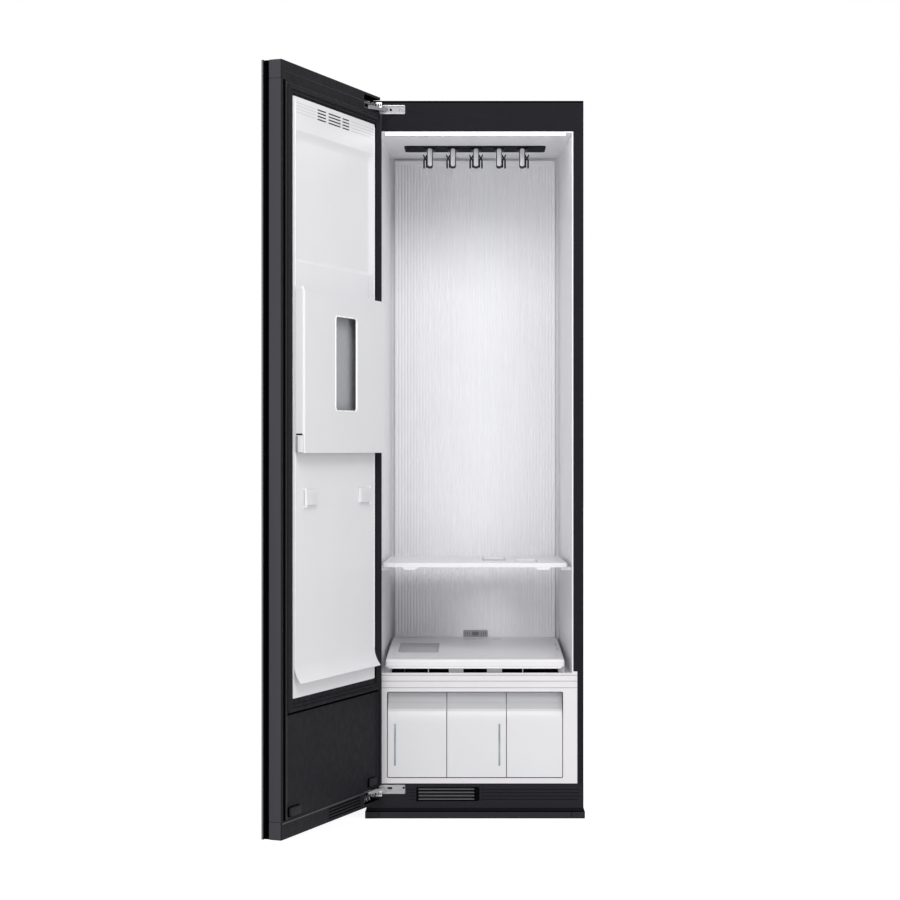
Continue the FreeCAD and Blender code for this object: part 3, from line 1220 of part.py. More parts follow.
def door_liner():
    """White inner panel: a base plate and a shield in front of it that flares out below."""
    x = door_span(DOOR_LINER_U)
    base = block(x, (CORE_Y, SHIELD_BACK_Y), DOOR_LINER_Z)
    sx = (x[0] + SHIELD_SIDE, x[1] - SHIELD_SIDE)
    low, bend = DRIP_Z
    at = lambda y, z: V(sx[0], y, z)
    rise = bend - low
    radius = (rise ** 2 + DRIP_OUT ** 2) / (2 * DRIP_OUT)
    turn = math.asin(rise / radius)

    def flare(y, extra):
        """Arc from the upright shield out to the drip edge, on one face of the sheet."""
        arc_r = radius + extra
        point = lambda a: at(y + extra + radius - arc_r * math.cos(a), bend - arc_r * math.sin(a))
        return point(0), point(turn / 2), point(turn)

    inner = flare(SHIELD_BACK_Y, 0)
    outer = flare(SHIELD_Y - 2 * SHIELD_T, -SHIELD_T)
    outer = [V(p.x, p.y + 2 * SHIELD_T, p.z) for p in outer]
    outline = [line(at(SHIELD_BACK_Y, SHIELD_TOP_Z), inner[0]),
               Part.Arc(*inner).toShape(), line(inner[2], outer[2]),
               Part.Arc(outer[2], outer[1], outer[0]).toShape(),
               line(outer[0], at(SHIELD_Y, SHIELD_TOP_Z)),
               line(at(SHIELD_Y, SHIELD_TOP_Z), at(SHIELD_BACK_Y, SHIELD_TOP_Z))]
    shield = section_x(outline, sx[0], sx[1])
    vents = [block(door_span(column), (SHIELD_BACK_Y - 3, SHIELD_Y + 1), (z, z + VENT_H))
             for z in VENT_ROWS for column in VENT_COLUMNS]
    recess = block(door_span(PANEL_RECESS_U), (SHIELD_Y - PANEL_RECESS_DEEP, SHIELD_Y + 1),
                   PANEL_RECESS_Z)
    return join(base, shield).cut(vents + [recess])


def door_seals():
    """Rubber gasket round the liner and two bumpers low on the door."""
    y = (FRAME_IN_Y, -GASKET_REST)
    x = door_span(GASKET_U)
    ring = rounded(x, y, GASKET_Z, 8, "y").cut(
        rounded((x[0] + GASKET_W, x[1] - GASKET_W), (y[0] - 1, y[1] + 1),
                (GASKET_Z[0] + GASKET_W, GASKET_Z[1] - GASKET_W), 4, "y"))
    bumpers = [rounded(door_span(u), (CORE_Y + SHEET, -GASKET_REST), BUMPER_Z, 4, "y")
               for u in BUMPER_U]
    return group([ring.cut(hinge_pockets())] + bumpers)


def door_lower_panel():
    x = inner_x()
    top = border_low()
    panel = block(x, (CORE_Y, CORE_Y + SHEET), (DOOR_BOTTOM + BOTTOM_TRIM, top))
    return panel.cut(hinge_pockets())


# ---------------------------------------------------------------- trouser press
def press_pin_x():
    return door_x(PRESS_U[1]) - PRESS_PIN_IN


def press_lug(z):
    """Lug on the liner that reaches out to the cover's pin."""
    x = press_pin_x()
    return join(block((x - PRESS_LUG_R, x + PRESS_LUG_R), (SHIELD_Y, PRESS_PIN_Y), z),
                rod((x, PRESS_PIN_Y), PRESS_LUG_R, *z))


def press_bearings():
    """Heights of the cover's two bearing ribs."""
    low = PRESS_Z[0] + PRESS_NOTCH
    high = PRESS_Z[1] - PRESS_WALL
    return ((low, low + PRESS_BEARING), (high - PRESS_BEARING, high))


def press_board():
    """Pressing board with a trouser bar on two posts, and the lugs that the cover turns on."""
    x = door_span(BOARD_U)
    board = rounded(x, (SHIELD_Y, SHIELD_Y + BOARD_T),
                    (PRESS_Z[0] + BOARD_SHORT, PRESS_Z[1] - BOARD_SHORT), 8, "y")
    bar_z = PRESS_Z[1] - 22
    bar_y = SHIELD_Y + BOARD_T + 8
    bar_x = door_span(BAR_U)
    bar = rod((bar_y, bar_z), BAR_R, bar_x[0], bar_x[1], "x")
    posts = [rod((px, bar_z), BAR_POST_R, SHIELD_Y + 1, bar_y, "y")
             for px in (bar_x[0] + 8, bar_x[1] - 8)]
    bearings = press_bearings()
    low_lug = press_lug((PRESS_Z[0] + 2, bearings[0][0] - SLIDE_GAP))
    low_pin = rod((press_pin_x(), PRESS_PIN_Y), PRESS_PIN_R, PRESS_Z[0] + 4, bearings[0][1] + 2)
    high_lug = press_lug((PRESS_Z[1] + SLIDE_GAP, PRESS_Z[1] + 8))
    high_pin = rod((press_pin_x(), PRESS_PIN_Y), PRESS_PIN_R, bearings[1][0], PRESS_Z[1] + 6)
    return group([join(board, bar, *posts), join(low_lug, low_pin), join(high_lug, high_pin)]
                 + clip_lugs())


def press_cover():
    """Hollow cover with a long window, turning on pins at its outer side."""
    x = door_span(PRESS_U)
    back = SHIELD_Y + 5 * SLIDE_GAP
    shell = block(x, (back, PRESS_FRONT_Y), PRESS_Z)
    front_edges = [e for e in edges_along(shell, "z") if e.CenterOfMass.y > PRESS_PIN_Y]
    shell = shell.makeFillet(PRESS_CORNER_R, front_edges)
    room = block((x[0] - 1, x[1] - PRESS_WALL), (back - 1, PRESS_FRONT_Y - PRESS_WALL),
                 (PRESS_Z[0] - 1, PRESS_Z[1] - PRESS_WALL))
    window = rounded(door_span(PRESS_WINDOW_U), (SHIELD_Y, PRESS_FRONT_Y + 1), PRESS_WINDOW_Z,
                     PRESS_WINDOW_R, "y")
    notch = block((x[1] - 1.6 * PRESS_WALL - PRESS_CORNER_R, x[1] + 1),
                  (back - 1, PRESS_FRONT_Y - PRESS_WALL),
                  (PRESS_Z[0] - 1, PRESS_Z[0] + PRESS_NOTCH))
    pin_x = press_pin_x()
    ribs = [block((pin_x - 3 * PRESS_LUG_R, x[1] - PRESS_WALL / 2),
                  (PRESS_PIN_Y - PRESS_LUG_R, PRESS_FRONT_Y - PRESS_WALL / 2), z)
            for z in press_bearings()]
    bores = [rod((pin_x, PRESS_PIN_Y), PRESS_PIN_R + RUN_GAP, PRESS_Z[0] - 1, PRESS_Z[1] + 1)]
    return join(shell.cut([room, window, notch]), *ribs).cut(bores)


def clip_pin_x():
    return door_x(CLIP_U[1]) - CLIP_T / 2


def clip_pin_y():
    return SHIELD_Y + SLIDE_GAP + CLIP_T / 2


def clip_outline():
    """Clip on the outer side: flat jaw, round at its pin end."""
    pin_x, pin_y = clip_pin_x(), clip_pin_y()
    jaw = block((door_x(CLIP_U[0]), pin_x), (pin_y - CLIP_T / 2, pin_y + CLIP_T / 2), CLIP_Z)
    edges = [e for e in edges_along(jaw, "x") if e.CenterOfMass.y > pin_y]
    jaw = jaw.makeFillet(2, edges)
    return join(jaw, rod((pin_x, pin_y), CLIP_T / 2, *CLIP_Z),
                rod((pin_x, pin_y), CLIP_PIN_R, CLIP_Z[0] - CLIP_LUG, CLIP_Z[1] + CLIP_LUG))


def clip_twin(shape):
    """The second clip is the first one mirrored across the trousers."""
    return shape.mirror(V(door_x(CLIP_MIRROR_U / 2), 0, 0), V(1, 0, 0))


def clip_lugs():
    """Small ears on the liner, over and under each clip."""
    lugs = []
    x, y = clip_pin_x(), clip_pin_y()
    for z in ((CLIP_Z[0] - SLIDE_GAP - CLIP_LUG, CLIP_Z[0] - SLIDE_GAP),
              (CLIP_Z[1] + SLIDE_GAP, CLIP_Z[1] + SLIDE_GAP + CLIP_LUG)):
        ear = join(block((x - CLIP_T / 2, x + CLIP_T / 2), (SHIELD_Y, y), z),
                   rod((x, y), CLIP_T / 2, *z)).cut(rod((x, y), CLIP_PIN_R + RUN_GAP, 0, CASE_HEIGHT))
        lugs += [ear, clip_twin(ear)]
    return lugs


# ---------------------------------------------------------------- machine room
def can(centre, radius, low, high):
    """Upright drum with well rounded rims."""
    drum = rod(centre, radius, low, high)
    rims = [e for e in drum.Edges if isinstance(e.Curve, Part.Circle)]
    return drum.makeFillet(0.35 * radius, rims)


def pipe_ports():
    """Where the two refrigerant lines leave the compressor's top."""
    x, y = COMPRESSOR_XY
    return ((x - COMPRESSOR_PORT, y), (x + COMPRESSOR_PORT, y))


def compressor():
    """Thick-walled rounded can on a foot plate with four rubber grommets."""
    x, y = COMPRESSOR_XY
    base = PAN_TOP + GROMMET_H
    plate_t = 4.0
    top = base + COMPRESSOR_H
    wall = COMPRESSOR_WALL
    shell = can((x, y), COMPRESSOR_R, base + plate_t, top)
    room = can((x, y), COMPRESSOR_R - wall, base + plate_t + wall, top - wall)
    ports = [rod(port, PIPE_R - 1, top - 2 * wall, top + 1) for port in pipe_ports()]
    half = COMPRESSOR_R + 8
    plate = rounded((x - half, x + half), (y - half, y + half), (base, base + plate_t + 4), 12)
    grommets = [rod((x + a * (half - 14), y + b * (half - 14)), 9, PAN_TOP, base)
                for a in (-1, 1) for b in (-1, 1)]
    return group([join(shell, plate).cut([room] + ports)] + grommets)


def finned(y):
    """Finned exchanger: upright fins between two headers, open from front to back."""
    body = block(EXCHANGER_X, y, (PAN_TOP, EXCHANGER_TOP))
    count = int((EXCHANGER_X[1] - EXCHANGER_X[0]) / FIN_PITCH)
    gap_z = (PAN_TOP + EXCHANGER_HEADER, EXCHANGER_TOP - EXCHANGER_HEADER)
    first = EXCHANGER_X[0] + (FIN_PITCH - FIN_GAP) / 2
    cuts = [block((first + i * FIN_PITCH, first + i * FIN_PITCH + FIN_GAP), (y[0] - 1, y[1] + 1), gap_z)
            for i in range(count)]
    return body.cut(cuts)


def heat_exchangers():
    return group([finned(EVAPORATOR_Y), finned(CONDENSER_Y)])


def blower_mouth_x():
    return (BLOWER_X[0] + BLOWER_WALL, BLOWER_X[1] - BLOWER_WALL)


def blower_mouth_y():
    return (BLOWER_YZ[0] + BLOWER_R / 3, BLOWER_YZ[0] + BLOWER_R - BLOWER_WALL)


def blower_housing():
    """Scroll round the wheel with an inlet on one side and a duct up to the liner's floor."""
    y, z = BLOWER_YZ
    top = CAVITY_FLOOR - LINER_T
    mouth = blower_mouth_y()
    drum = rod(BLOWER_YZ, BLOWER_R, BLOWER_X[0], BLOWER_X[1], "x")
    duct = block(BLOWER_X, (mouth[0] - BLOWER_WALL, mouth[1] + BLOWER_WALL), (z, top))
    leg = block((BLOWER_X[0] + 10, BLOWER_X[1] - 10), (y - 30, y + 30), (PAN_TOP, z - BLOWER_R / 2))
    inner = rod(BLOWER_YZ, BLOWER_R - BLOWER_WALL, *blower_mouth_x(), "x")
    flue = block(blower_mouth_x(), mouth, (z, top + 1))
    inlet = rod(BLOWER_YZ, BLOWER_INLET_R, BLOWER_X[0] - 1, BLOWER_X[0] + BLOWER_WALL + 1, "x")
    shaft = rod(BLOWER_YZ, 2 * WHEEL_SHAFT_R, BLOWER_X[1] - BLOWER_WALL - 1, BLOWER_X[1] + 1, "x")
    return join(drum, duct, leg).cut([inner, flue, inlet, shaft])


def blower_wheel():
    """Drum of blades on a back disc, with a shaft into the motor."""
    y, z = BLOWER_YZ
    low, high = BLOWER_X[0] + 3 * BLOWER_WALL, BLOWER_X[1] - 3 * BLOWER_WALL
    disc = rod(BLOWER_YZ, WHEEL_R, high - 4, high, "x")
    rim = rod(BLOWER_YZ, WHEEL_R, low, low + 4, "x").cut(
        rod(BLOWER_YZ, WHEEL_R - 14, low - 1, low + 5, "x"))
    hub = rod(BLOWER_YZ, 14, high - 26, high, "x")
    shaft = rod(BLOWER_YZ, WHEEL_SHAFT_R, high - 26, BLOWER_X[1] + BLOWER_MOTOR_L / 2, "x")
    blades = []
    for i in range(WHEEL_BLADES):
        blade = block((low, high), (y + WHEEL_R - 13, y + WHEEL_R - 1), (z - 1, z + 1))
        blade.rotate(V(0, y, z), AXES["x"], 360.0 * i / WHEEL_BLADES)
        blades.append(blade)
    return join(disc, rim, hub, shaft, *blades)


def blower_motor():
    low = BLOWER_X[1]
    can = rod(BLOWER_YZ, BLOWER_MOTOR_R, low, low + BLOWER_MOTOR_L, "x")
    rims = [e for e in can.Edges if isinstance(e.Curve, Part.Circle) and e.CenterOfMass.x > low + 1]
    can = can.makeFillet(6, rims)
    return can.cut(rod(BLOWER_YZ, WHEEL_SHAFT_R + RUN_GAP, low - 1, low + BLOWER_MOTOR_L / 2 + 1, "x"))


def steam_boiler():
    """Hollow water heater on two feet, with a spigot for the steam hose."""
    body = rounded(BOILER_X, BOILER_Y, BOILER_Z, BOILER_R, "x")
    wall = BOILER_WALL
    room = rounded((BOILER_X[0] + wall, BOILER_X[1] - wall), (BOILER_Y[0] + wall, BOILER_Y[1] - wall),
                   (BOILER_Z[0] + wall, BOILER_Z[1] - wall), BOILER_R - wall, "x")
    feet = [block((x, x + BOILER_FOOT), (BOILER_Y[0] + 20, BOILER_Y[1] - 20), (PAN_TOP, BOILER_Z[0] + 2))
            for x in (BOILER_X[0] + BOILER_FOOT_IN, BOILER_X[1] - BOILER_FOOT_IN - BOILER_FOOT)]
    x, y = hose_start()
    spigot = rod((x, y), HOSE_R + 2, BOILER_Z[1] - 2, BOILER_Z[1] + 8)
    bore = rod((x, y), HOSE_R - wall, BOILER_Z[1] - 2 * wall, BOILER_Z[1] + 9)
    return join(body, spigot, *feet).cut([room, bore])


def hose_start():
    return (BOILER_X[0] + HOSE_IN, (BOILER_Y[0] + BOILER_Y[1]) / 2)


def steam_hose():
    """Rubber hose from the boiler up to the outlet under the steam grille."""
    x, y = hose_start()
    sx, sy = steam_xy()
    low = BOILER_Z[1] + 8
    turn = EXCHANGER_TOP + 50
    points = [V(x, y, low), V(x, y, turn - 10), V(sx, sy, turn), V(sx, sy, CAVITY_FLOOR)]
    return tube(points, HOSE_R - SLIDE_GAP, HOSE_BEND)


def water_pumps():
    """Supply and drain pumps on legs behind the tank bay."""
    width, deep, height = PUMP_SIZE
    pumps = []
    for x in PUMP_X:
        body = rounded((x, x + width), (BAY_BACK, BAY_BACK + deep), (PUMP_Z, PUMP_Z + height), 5, "y")
        legs = [block((a, a + 8), (BAY_BACK, BAY_BACK + deep), (PAN_TOP, PUMP_Z + 4))
                for a in (x + 6, x + width - 14)]
        nose = rod((x + width / 2, PUMP_Z + 0.7 * height), 5, BAY_BACK + deep - 1,
                   BAY_BACK + deep + 12, "y")
        pumps.append(join(body, nose, *legs))
    return group(pumps)


def refrigerant_pipes():
    """Copper lines between the compressor and the two exchangers."""
    top = PAN_TOP + GROMMET_H + COMPRESSOR_H
    level = EXCHANGER_TOP + PIPE_BEND + 2
    lines = []
    for place, (x, y), target in zip((1, 2), pipe_ports(), (EVAPORATOR_Y, CONDENSER_Y)):
        goal_y = (target[0] + target[1]) / 2
        start = V(x, y, top)
        end_x = EXCHANGER_X[0] + place * COMPRESSOR_PORT
        points = [start, V(start.x, y, level), V(start.x + 1, goal_y, level)]
        if abs(goal_y - y) < 3 * PIPE_BEND:
            points = points[:2]
        points += [V(end_x, goal_y, level), V(end_x, goal_y, EXCHANGER_TOP)]
        lines.append(tube(points, PIPE_R, PIPE_BEND))
    return group(lines)


def control_box():
    """Electronics box on the liner's ceiling."""
    low = BEAM_Z
    body = rounded(CONTROL_X, CONTROL_Y, (low, low + CONTROL_H), 6)
    ribs = [block((CONTROL_X[0] + 20 + 30 * i, CONTROL_X[0] + 24 + 30 * i),
                  (CONTROL_Y[0] + 10, CONTROL_Y[1] - 10), (low + CONTROL_H - 1, low + CONTROL_H + 2))
            for i in range(4)]
    return join(body, *ribs)


def power_inlet():
    """Cable gland in the rear panel."""
    back = BACK_SKIN_Y - SHEET
    flange = rod(INLET_XZ, INLET_R + 5, back - 3, back, "y")
    neck = rod(INLET_XZ, INLET_R, back - 3, CASE_DEPTH + INLET_PROUD, "y")
    bore = rod(INLET_XZ, INLET_BORE_R, back - 10, CASE_DEPTH + INLET_PROUD + 1, "y")
    return join(flange, neck).cut(bore)


# ---------------------------------------------------------------- every piece, by name
PIECES = {
    "side_panels": side_panels(),
    "front_top_beam": front_top_beam(),
    "top_panel": top_panel(),
    "rear_panel": rear_panel(),
    "wall_insulation": wall_insulation(),
    "base_pan": base_pan(),
    "base_skirt": base_skirt(),
    "rear_feet": group([foot(-FOOT_X, FOOT_BACK_Y), foot(FOOT_X, FOOT_BACK_Y)]),
    "front_foot_left": foot(-FOOT_X, FOOT_FRONT_Y),
    "front_foot_right": foot(FOOT_X, FOOT_FRONT_Y),
    "plinth_grille": plinth_grille(),
    "cabinet_liner": cabinet_liner(),
    "liner_ceiling": liner_ceiling(),
    "liner_floor": liner_floor(),
    "back_duct_panel": back_duct_panel(),
    "aroma_cartridge": aroma_cartridge(),
    "light_bar": light_bar(),
    "hanger_slot_plate": hanger_slot_plate(),
    "hanger_hooks": hanger_hooks(),
    "hook_faces": hook_faces(),
    "drive_base": group(drive_base().Solids + drive_motor().Solids),
    "hanger_carriage": hanger_carriage(),
    "cam_pulley": cam_pulley(),
    "motor_pulley": motor_pulley(),
    "drive_belt": drive_belt(),
    "shelf": shelf(),
    "shelf_rails": shelf_rails(),
    "floor_tray": floor_tray(),
    "steam_grille": steam_grille(),
    "fascia_frame": fascia_frame(),
    "tank_bay": tank_bay(),
    "supply_tank": water_tank(0),
    "supply_level_window": level_window(0),
    "drain_tank": water_tank(1),
    "drain_level_window": level_window(1),
    "accessory_drawer": accessory_drawer(),
    "hinge_brackets": hinge_brackets(),
    "hinge_screws": hinge_screws(),
    "compressor": compressor(),
    "heat_exchangers": heat_exchangers(),
    "blower_housing": group(blower_housing().Solids + blower_motor().Solids),
    "blower_wheel": blower_wheel(),
    "steam_boiler": steam_boiler(),
    "steam_hose": steam_hose(),
    "water_pumps": water_pumps(),
    "refrigerant_pipes": refrigerant_pipes(),
    "control_box": control_box(),
    "power_inlet": power_inlet(),
}

DOOR_PIECES = {
    "door_glass": door_glass(),
    "glass_carrier": glass_carrier(),
    "door_frame": door_frame(),
    "door_core": door_core(),
    "door_liner": door_liner(),
    "door_seals": door_seals(),
    "door_lower_panel": door_lower_panel(),
    "hinge_arms": hinge_arms(),
    "press_board": press_board(),
    "press_cover": press_cover(),
    "trouser_clip_outer": clip_outline(),
    "trouser_clip_inner": clip_twin(clip_outline()),
}
for name, shape in DOOR_PIECES.items():
    PIECES[name] = swing(shape)

os.makedirs("parts", exist_ok=True)
for name, shape in PIECES.items():
    shape.exportStep(f"parts/{name}.step")
print(len(PIECES), "pieces written")
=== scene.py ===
"""Clothes care steam cabinet with its door open, put together in the order it is built."""
import bmesh
import bpy
from math import atan2, cos, pi, radians, sin
from mathutils import Matrix, Vector
from mathutils.geometry import tessellate_polygon


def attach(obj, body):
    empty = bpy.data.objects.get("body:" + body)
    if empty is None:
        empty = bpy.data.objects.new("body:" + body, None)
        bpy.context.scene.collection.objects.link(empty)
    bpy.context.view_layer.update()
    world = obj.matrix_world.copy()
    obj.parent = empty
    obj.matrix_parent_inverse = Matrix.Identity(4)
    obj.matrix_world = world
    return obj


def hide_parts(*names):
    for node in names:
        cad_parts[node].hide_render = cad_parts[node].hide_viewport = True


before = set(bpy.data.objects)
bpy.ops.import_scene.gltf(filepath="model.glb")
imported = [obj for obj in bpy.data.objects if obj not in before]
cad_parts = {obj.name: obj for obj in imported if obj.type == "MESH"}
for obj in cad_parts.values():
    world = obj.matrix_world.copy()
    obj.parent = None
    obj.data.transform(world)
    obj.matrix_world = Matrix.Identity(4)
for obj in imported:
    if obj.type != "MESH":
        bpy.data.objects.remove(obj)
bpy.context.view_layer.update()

# -------- where it is seen from
# A camera about five and a half metres in front of the case, at the height of its middle. Its
# lens is shifted to leave room for the open door at the left.
camera = bpy.data.cameras.new("camera")
camera.lens = 80.8
camera.sensor_width = 36.0
camera.shift_x = -0.0278
camera.clip_end = 60
eye = bpy.data.objects.new("camera", camera)
eye.location = (0.0, -5.522, 1.0054)
eye.rotation_euler = (radians(90), 0, 0)
scene = bpy.context.scene
scene.collection.objects.link(eye)
scene.camera = eye
scene.view_settings.view_transform = "Standard"


# -------- painted outer skins
# Folded 1 mm steel sheets, zinc primed and powder coated charcoal with a fine orange peel.
# Two sides, a box-section beam over the opening and a lid that is screwed down at the back.
def finish(name, colour, rough, second=None, mottle=9.0, mix=0.5, spread=0.06, grain=900.0,
           grain_depth=0.02, peel=0.0, peel_depth=0.05, metal=0.0, shine=0.5, stretch=(1, 1, 1),
           coat=0.0, glow=0.0, flakes=0.0, scuff=0.0):
    """Paint, plastic or metal: mottled colour, uneven gloss, a fine grain and faint scuffs."""
    made = bpy.data.materials.new(name)
    made.use_nodes = True
    nodes, links = made.node_tree.nodes, made.node_tree.links
    shader = nodes["Principled BSDF"]
    place = nodes.new("ShaderNodeTexCoord")
    turn = nodes.new("ShaderNodeMapping")
    turn.inputs["Scale"].default_value = stretch
    links.new(place.outputs["Object"], turn.inputs["Vector"])

    def noise(scale, detail):
        node = nodes.new("ShaderNodeTexNoise")
        node.inputs["Scale"].default_value = scale
        node.inputs["Detail"].default_value = detail
        links.new(turn.outputs["Vector"], node.inputs["Vector"])
        return node.outputs["Fac"]

    def ranged(value, *span):
        node = nodes.new("ShaderNodeMapRange")
        for label, number in zip(("From Min", "From Max", "To Min", "To Max"), span):
            node.inputs[label].default_value = number
        links.new(value, node.inputs["Value"])
        return node.outputs["Result"]

    def blended(factor, first, other):
        node = nodes.new("ShaderNodeMix")
        node.data_type = "RGBA"
        links.new(factor, node.inputs["Factor"])
        for label, shade in (("A", first), ("B", other)):
            if isinstance(shade, tuple):
                node.inputs[label].default_value = (*shade, 1)
            else:
                links.new(shade, node.inputs[label])
        return node.outputs["Result"]

    def bump(height, depth):
        node = nodes.new("ShaderNodeBump")
        node.inputs["Distance"].default_value = depth * 0.001
        links.new(height, node.inputs["Height"])
        return node

    colour_out = blended(ranged(noise(mottle, 4), 0.35, 0.7, 0, mix), colour,
                         second or tuple(0.86 * c for c in colour))
    if flakes:
        crystals = nodes.new("ShaderNodeTexVoronoi")
        crystals.inputs["Scale"].default_value = flakes
        links.new(turn.outputs["Vector"], crystals.inputs["Vector"])
        split = nodes.new("ShaderNodeSeparateColor")
        links.new(crystals.outputs["Color"], split.inputs["Color"])
        colour_out = blended(ranged(split.outputs["Red"], 0, 1, 0, 0.6), colour_out,
                             tuple(0.62 * c for c in colour))
    if scuff:
        colour_out = blended(ranged(noise(42, 8), 0.62, 0.74, 0, scuff), colour_out,
                             tuple(0.55 * c + 0.1 for c in colour))
    links.new(colour_out, shader.inputs["Base Color"])
    if glow:
        links.new(colour_out, shader.inputs["Emission Color"])
        shader.inputs["Emission Strength"].default_value = glow
    links.new(ranged(noise(mottle * 6, 3), 0.3, 0.7, rough - spread, rough + spread),
              shader.inputs["Roughness"])
    fine = surface = bump(noise(grain, 2), grain_depth)
    if peel:
        surface = bump(noise(peel, 1), peel_depth)
        links.new(fine.outputs["Normal"], surface.inputs["Normal"])
    links.new(surface.outputs["Normal"], shader.inputs["Normal"])
    shader.inputs["Metallic"].default_value = metal
    shader.inputs["Specular IOR Level"].default_value = shine
    shader.inputs["Coat Weight"].default_value = coat
    return made


def moulded(name, colour, rough=0.36, mix=0.1, shine=0.4):
    """Smooth pale plastic with a very fine grain."""
    return finish(name, colour, rough, mix=mix, grain=900, grain_depth=0.005, shine=shine)


def ease(piece, width):
    """Rounds the sharp edges of a piece a little, in millimetres."""
    rounding = piece.modifiers.new("eased edges", "BEVEL")
    rounding.width = width * 0.001
    rounding.segments = 2
    rounding.limit_method = "ANGLE"
    rounding.angle_limit = radians(38)
    shading = piece.modifiers.new("even shading", "WEIGHTED_NORMAL")
    shading.keep_sharp = False
    shading.weight = 90


def dress(nodes, material, width=0.0):
    """Gives solids their finish and eases their edges."""
    for name in nodes.split():
        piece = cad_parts[name]
        for holder in piece.material_slots:
            holder.material = material
        if width:
            weld = piece.modifiers.new("closed seams", "WELD")
            weld.merge_threshold = 0.000002
            ease(piece, width)


def placed(axis, a, b, level):
    """A point of a plan, at a level along an axis."""
    return {"x": (level, a, b), "y": (a, level, b), "z": (a, b, level)}[axis]


def rounded(a, b, r, count=6):
    """Outline of a rectangle with round corners."""
    points = []
    for i, (u, v) in enumerate(((a[1] - r, b[1] - r), (a[0] + r, b[1] - r),
                                (a[0] + r, b[0] + r), (a[1] - r, b[0] + r))):
        for j in range(count + 1):
            turn = pi / 2 * (i + j / count)
            points.append((u + r * cos(turn), v + r * sin(turn)))
    return points


def lofted(bm, loops, shut=True):
    """Skin over loops of equally many points, with its ends shut or joined to each other."""
    rims = [[bm.verts.new(point) for point in loop] for loop in loops]
    count = len(loops[0])
    for near, far in zip(rims, rims[1:] if shut else rims[1:] + rims[:1]):
        for i in range(count):
            j = (i + 1) % count
            bm.faces.new((near[i], near[j], far[j], far[i]))
    if shut:
        bm.faces.new(rims[0])
        bm.faces.new(rims[-1])


def straight(bm, axis, section, ends):
    """Straight length of one section, between levels along an axis."""
    lofted(bm, [[placed(axis, a, b, level) for a, b in section] for level in ends])


def ring(axis, a, b, r, profile, count=8, least=0.6):
    """Loops of a section that runs round a rectangle: distance inward and height for each point."""
    return [[placed(axis, u, v, h) for u, v in
             rounded((a[0] + i, a[1] - i), (b[0] + i, b[1] - i), max(r - i, least), count)]
            for i, h in profile]


def block(bm, axis, a, b, level, r=1.0, edge=0.6):
    """Block with round corners in plan and eased rims."""
    loops = []
    for end, way in ((level[0], 1), (level[1], -1)):
        eased = [(edge * (1 - sin(radians(turn))), end + way * edge * (1 - cos(radians(turn))))
                 for turn in (0, 30, 60, 90)]
        loops += ring(axis, a, b, r, eased[::way], 6, 0.02)
    lofted(bm, loops)


def circle(centre, r, count):
    """Points round a centre."""
    return [(centre[0] + r * cos(2 * pi * i / count), centre[1] + r * sin(2 * pi * i / count))
            for i in range(count)]


def turned(bm, axis, centre, profile, count=32, solid=True):
    """Turned piece, or a tube: pairs of radius and height, round an axis."""
    lofted(bm, [[placed(axis, a, b, height) for a, b in circle(centre, r, count)]
                for r, height in profile], solid)


def pierced(bm, axis, plan, level, holes=()):
    """Plate of one outline with openings through it."""
    loops = [plan, *holes]
    corners = [point for loop in loops for point in loop]
    rims = [[bm.verts.new(placed(axis, a, b, height)) for a, b in corners] for height in level]
    flat = [[Vector((a, b, 0)) for a, b in loop] for loop in loops]
    for corner in tessellate_polygon(flat):
        for rim in rims:
            bm.faces.new([rim[i] for i in corner])
    start = 0
    for loop in loops:
        for i in range(len(loop)):
            a, b = start + i, start + (i + 1) % len(loop)
            bm.faces.new((rims[0][a], rims[0][b], rims[1][b], rims[1][a]))
        start += len(loop)


HINGE_PIN = Vector((-289.5, -41.5, 0))
DOOR_OPEN = 111.6
SWUNG = (Matrix.Translation(HINGE_PIN) @ Matrix.Rotation(radians(-DOOR_OPEN), 4, "Z")
         @ Matrix.Translation(-HINGE_PIN))
HUNG = ("door", "press_cover", "clip_outer", "clip_inner")


def piece(name, bm, material, body, slot, width=0.0, stands_for=(), smooth=40):
    """Turns millimetre mesh work into a piece that rides on a body.

    What hangs on the door is laid out with the door shut, and swung open here."""
    bmesh.ops.recalc_face_normals(bm, faces=bm.faces)
    if body in HUNG:
        bm.transform(SWUNG)
    bm.transform(Matrix.Scale(0.001, 4))
    mesh = bpy.data.meshes.new(name)
    bm.to_mesh(mesh)
    bm.free()
    mesh.polygons.foreach_set("use_smooth", [True] * len(mesh.polygons))
    mesh.set_sharp_from_angle(angle=radians(smooth))
    mesh.materials.append(material)
    made = bpy.data.objects.new(name, mesh)
    scene.collection.objects.link(made)
    if width:
        ease(made, width)
    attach(made, body)
    if stands_for:
        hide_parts(*stands_for)


def screw(bm, axis, centre, seat, way, r=4.0, height=1.6):
    """Low domed head with a cross recess, and a washer face under it."""
    profile = [(r * 1.02, seat), (r * 1.02, seat + way * 0.3), (r, seat + way * 0.35)]
    for turn in (20, 45, 70):
        angle = radians(turn)
        profile.append((r * cos(angle) ** 0.6, seat + way * height * sin(angle)))
    profile += [(0.5 * r, seat + way * height), (0.28 * r, seat + way * height * 0.97),
                (0.1 * r, seat + way * height * 0.3)]
    turned(bm, axis, centre, profile, 20)
    wing = 0.5 * r
    for a, b in ((wing, 0.13 * r), (0.13 * r, wing)):
        block(bm, axis, (centre[0] - a, centre[0] + a), (centre[1] - b, centre[1] + b),
              sorted((seat + way * height * 0.9, seat + way * height * 1.01)), 0.1, 0.02)


CASE_X = 296.0
CASE_BACK = 540.0
CASE_TOP = 1960.0

charcoal = finish("charcoal powder coat", (0.0120, 0.0116, 0.0144), 0.52, mix=0.3, shine=0.04,
                  peel=420, peel_depth=0.06, grain=1500, scuff=0.03)
dress("side_panels front_top_beam", charcoal, 0.8)

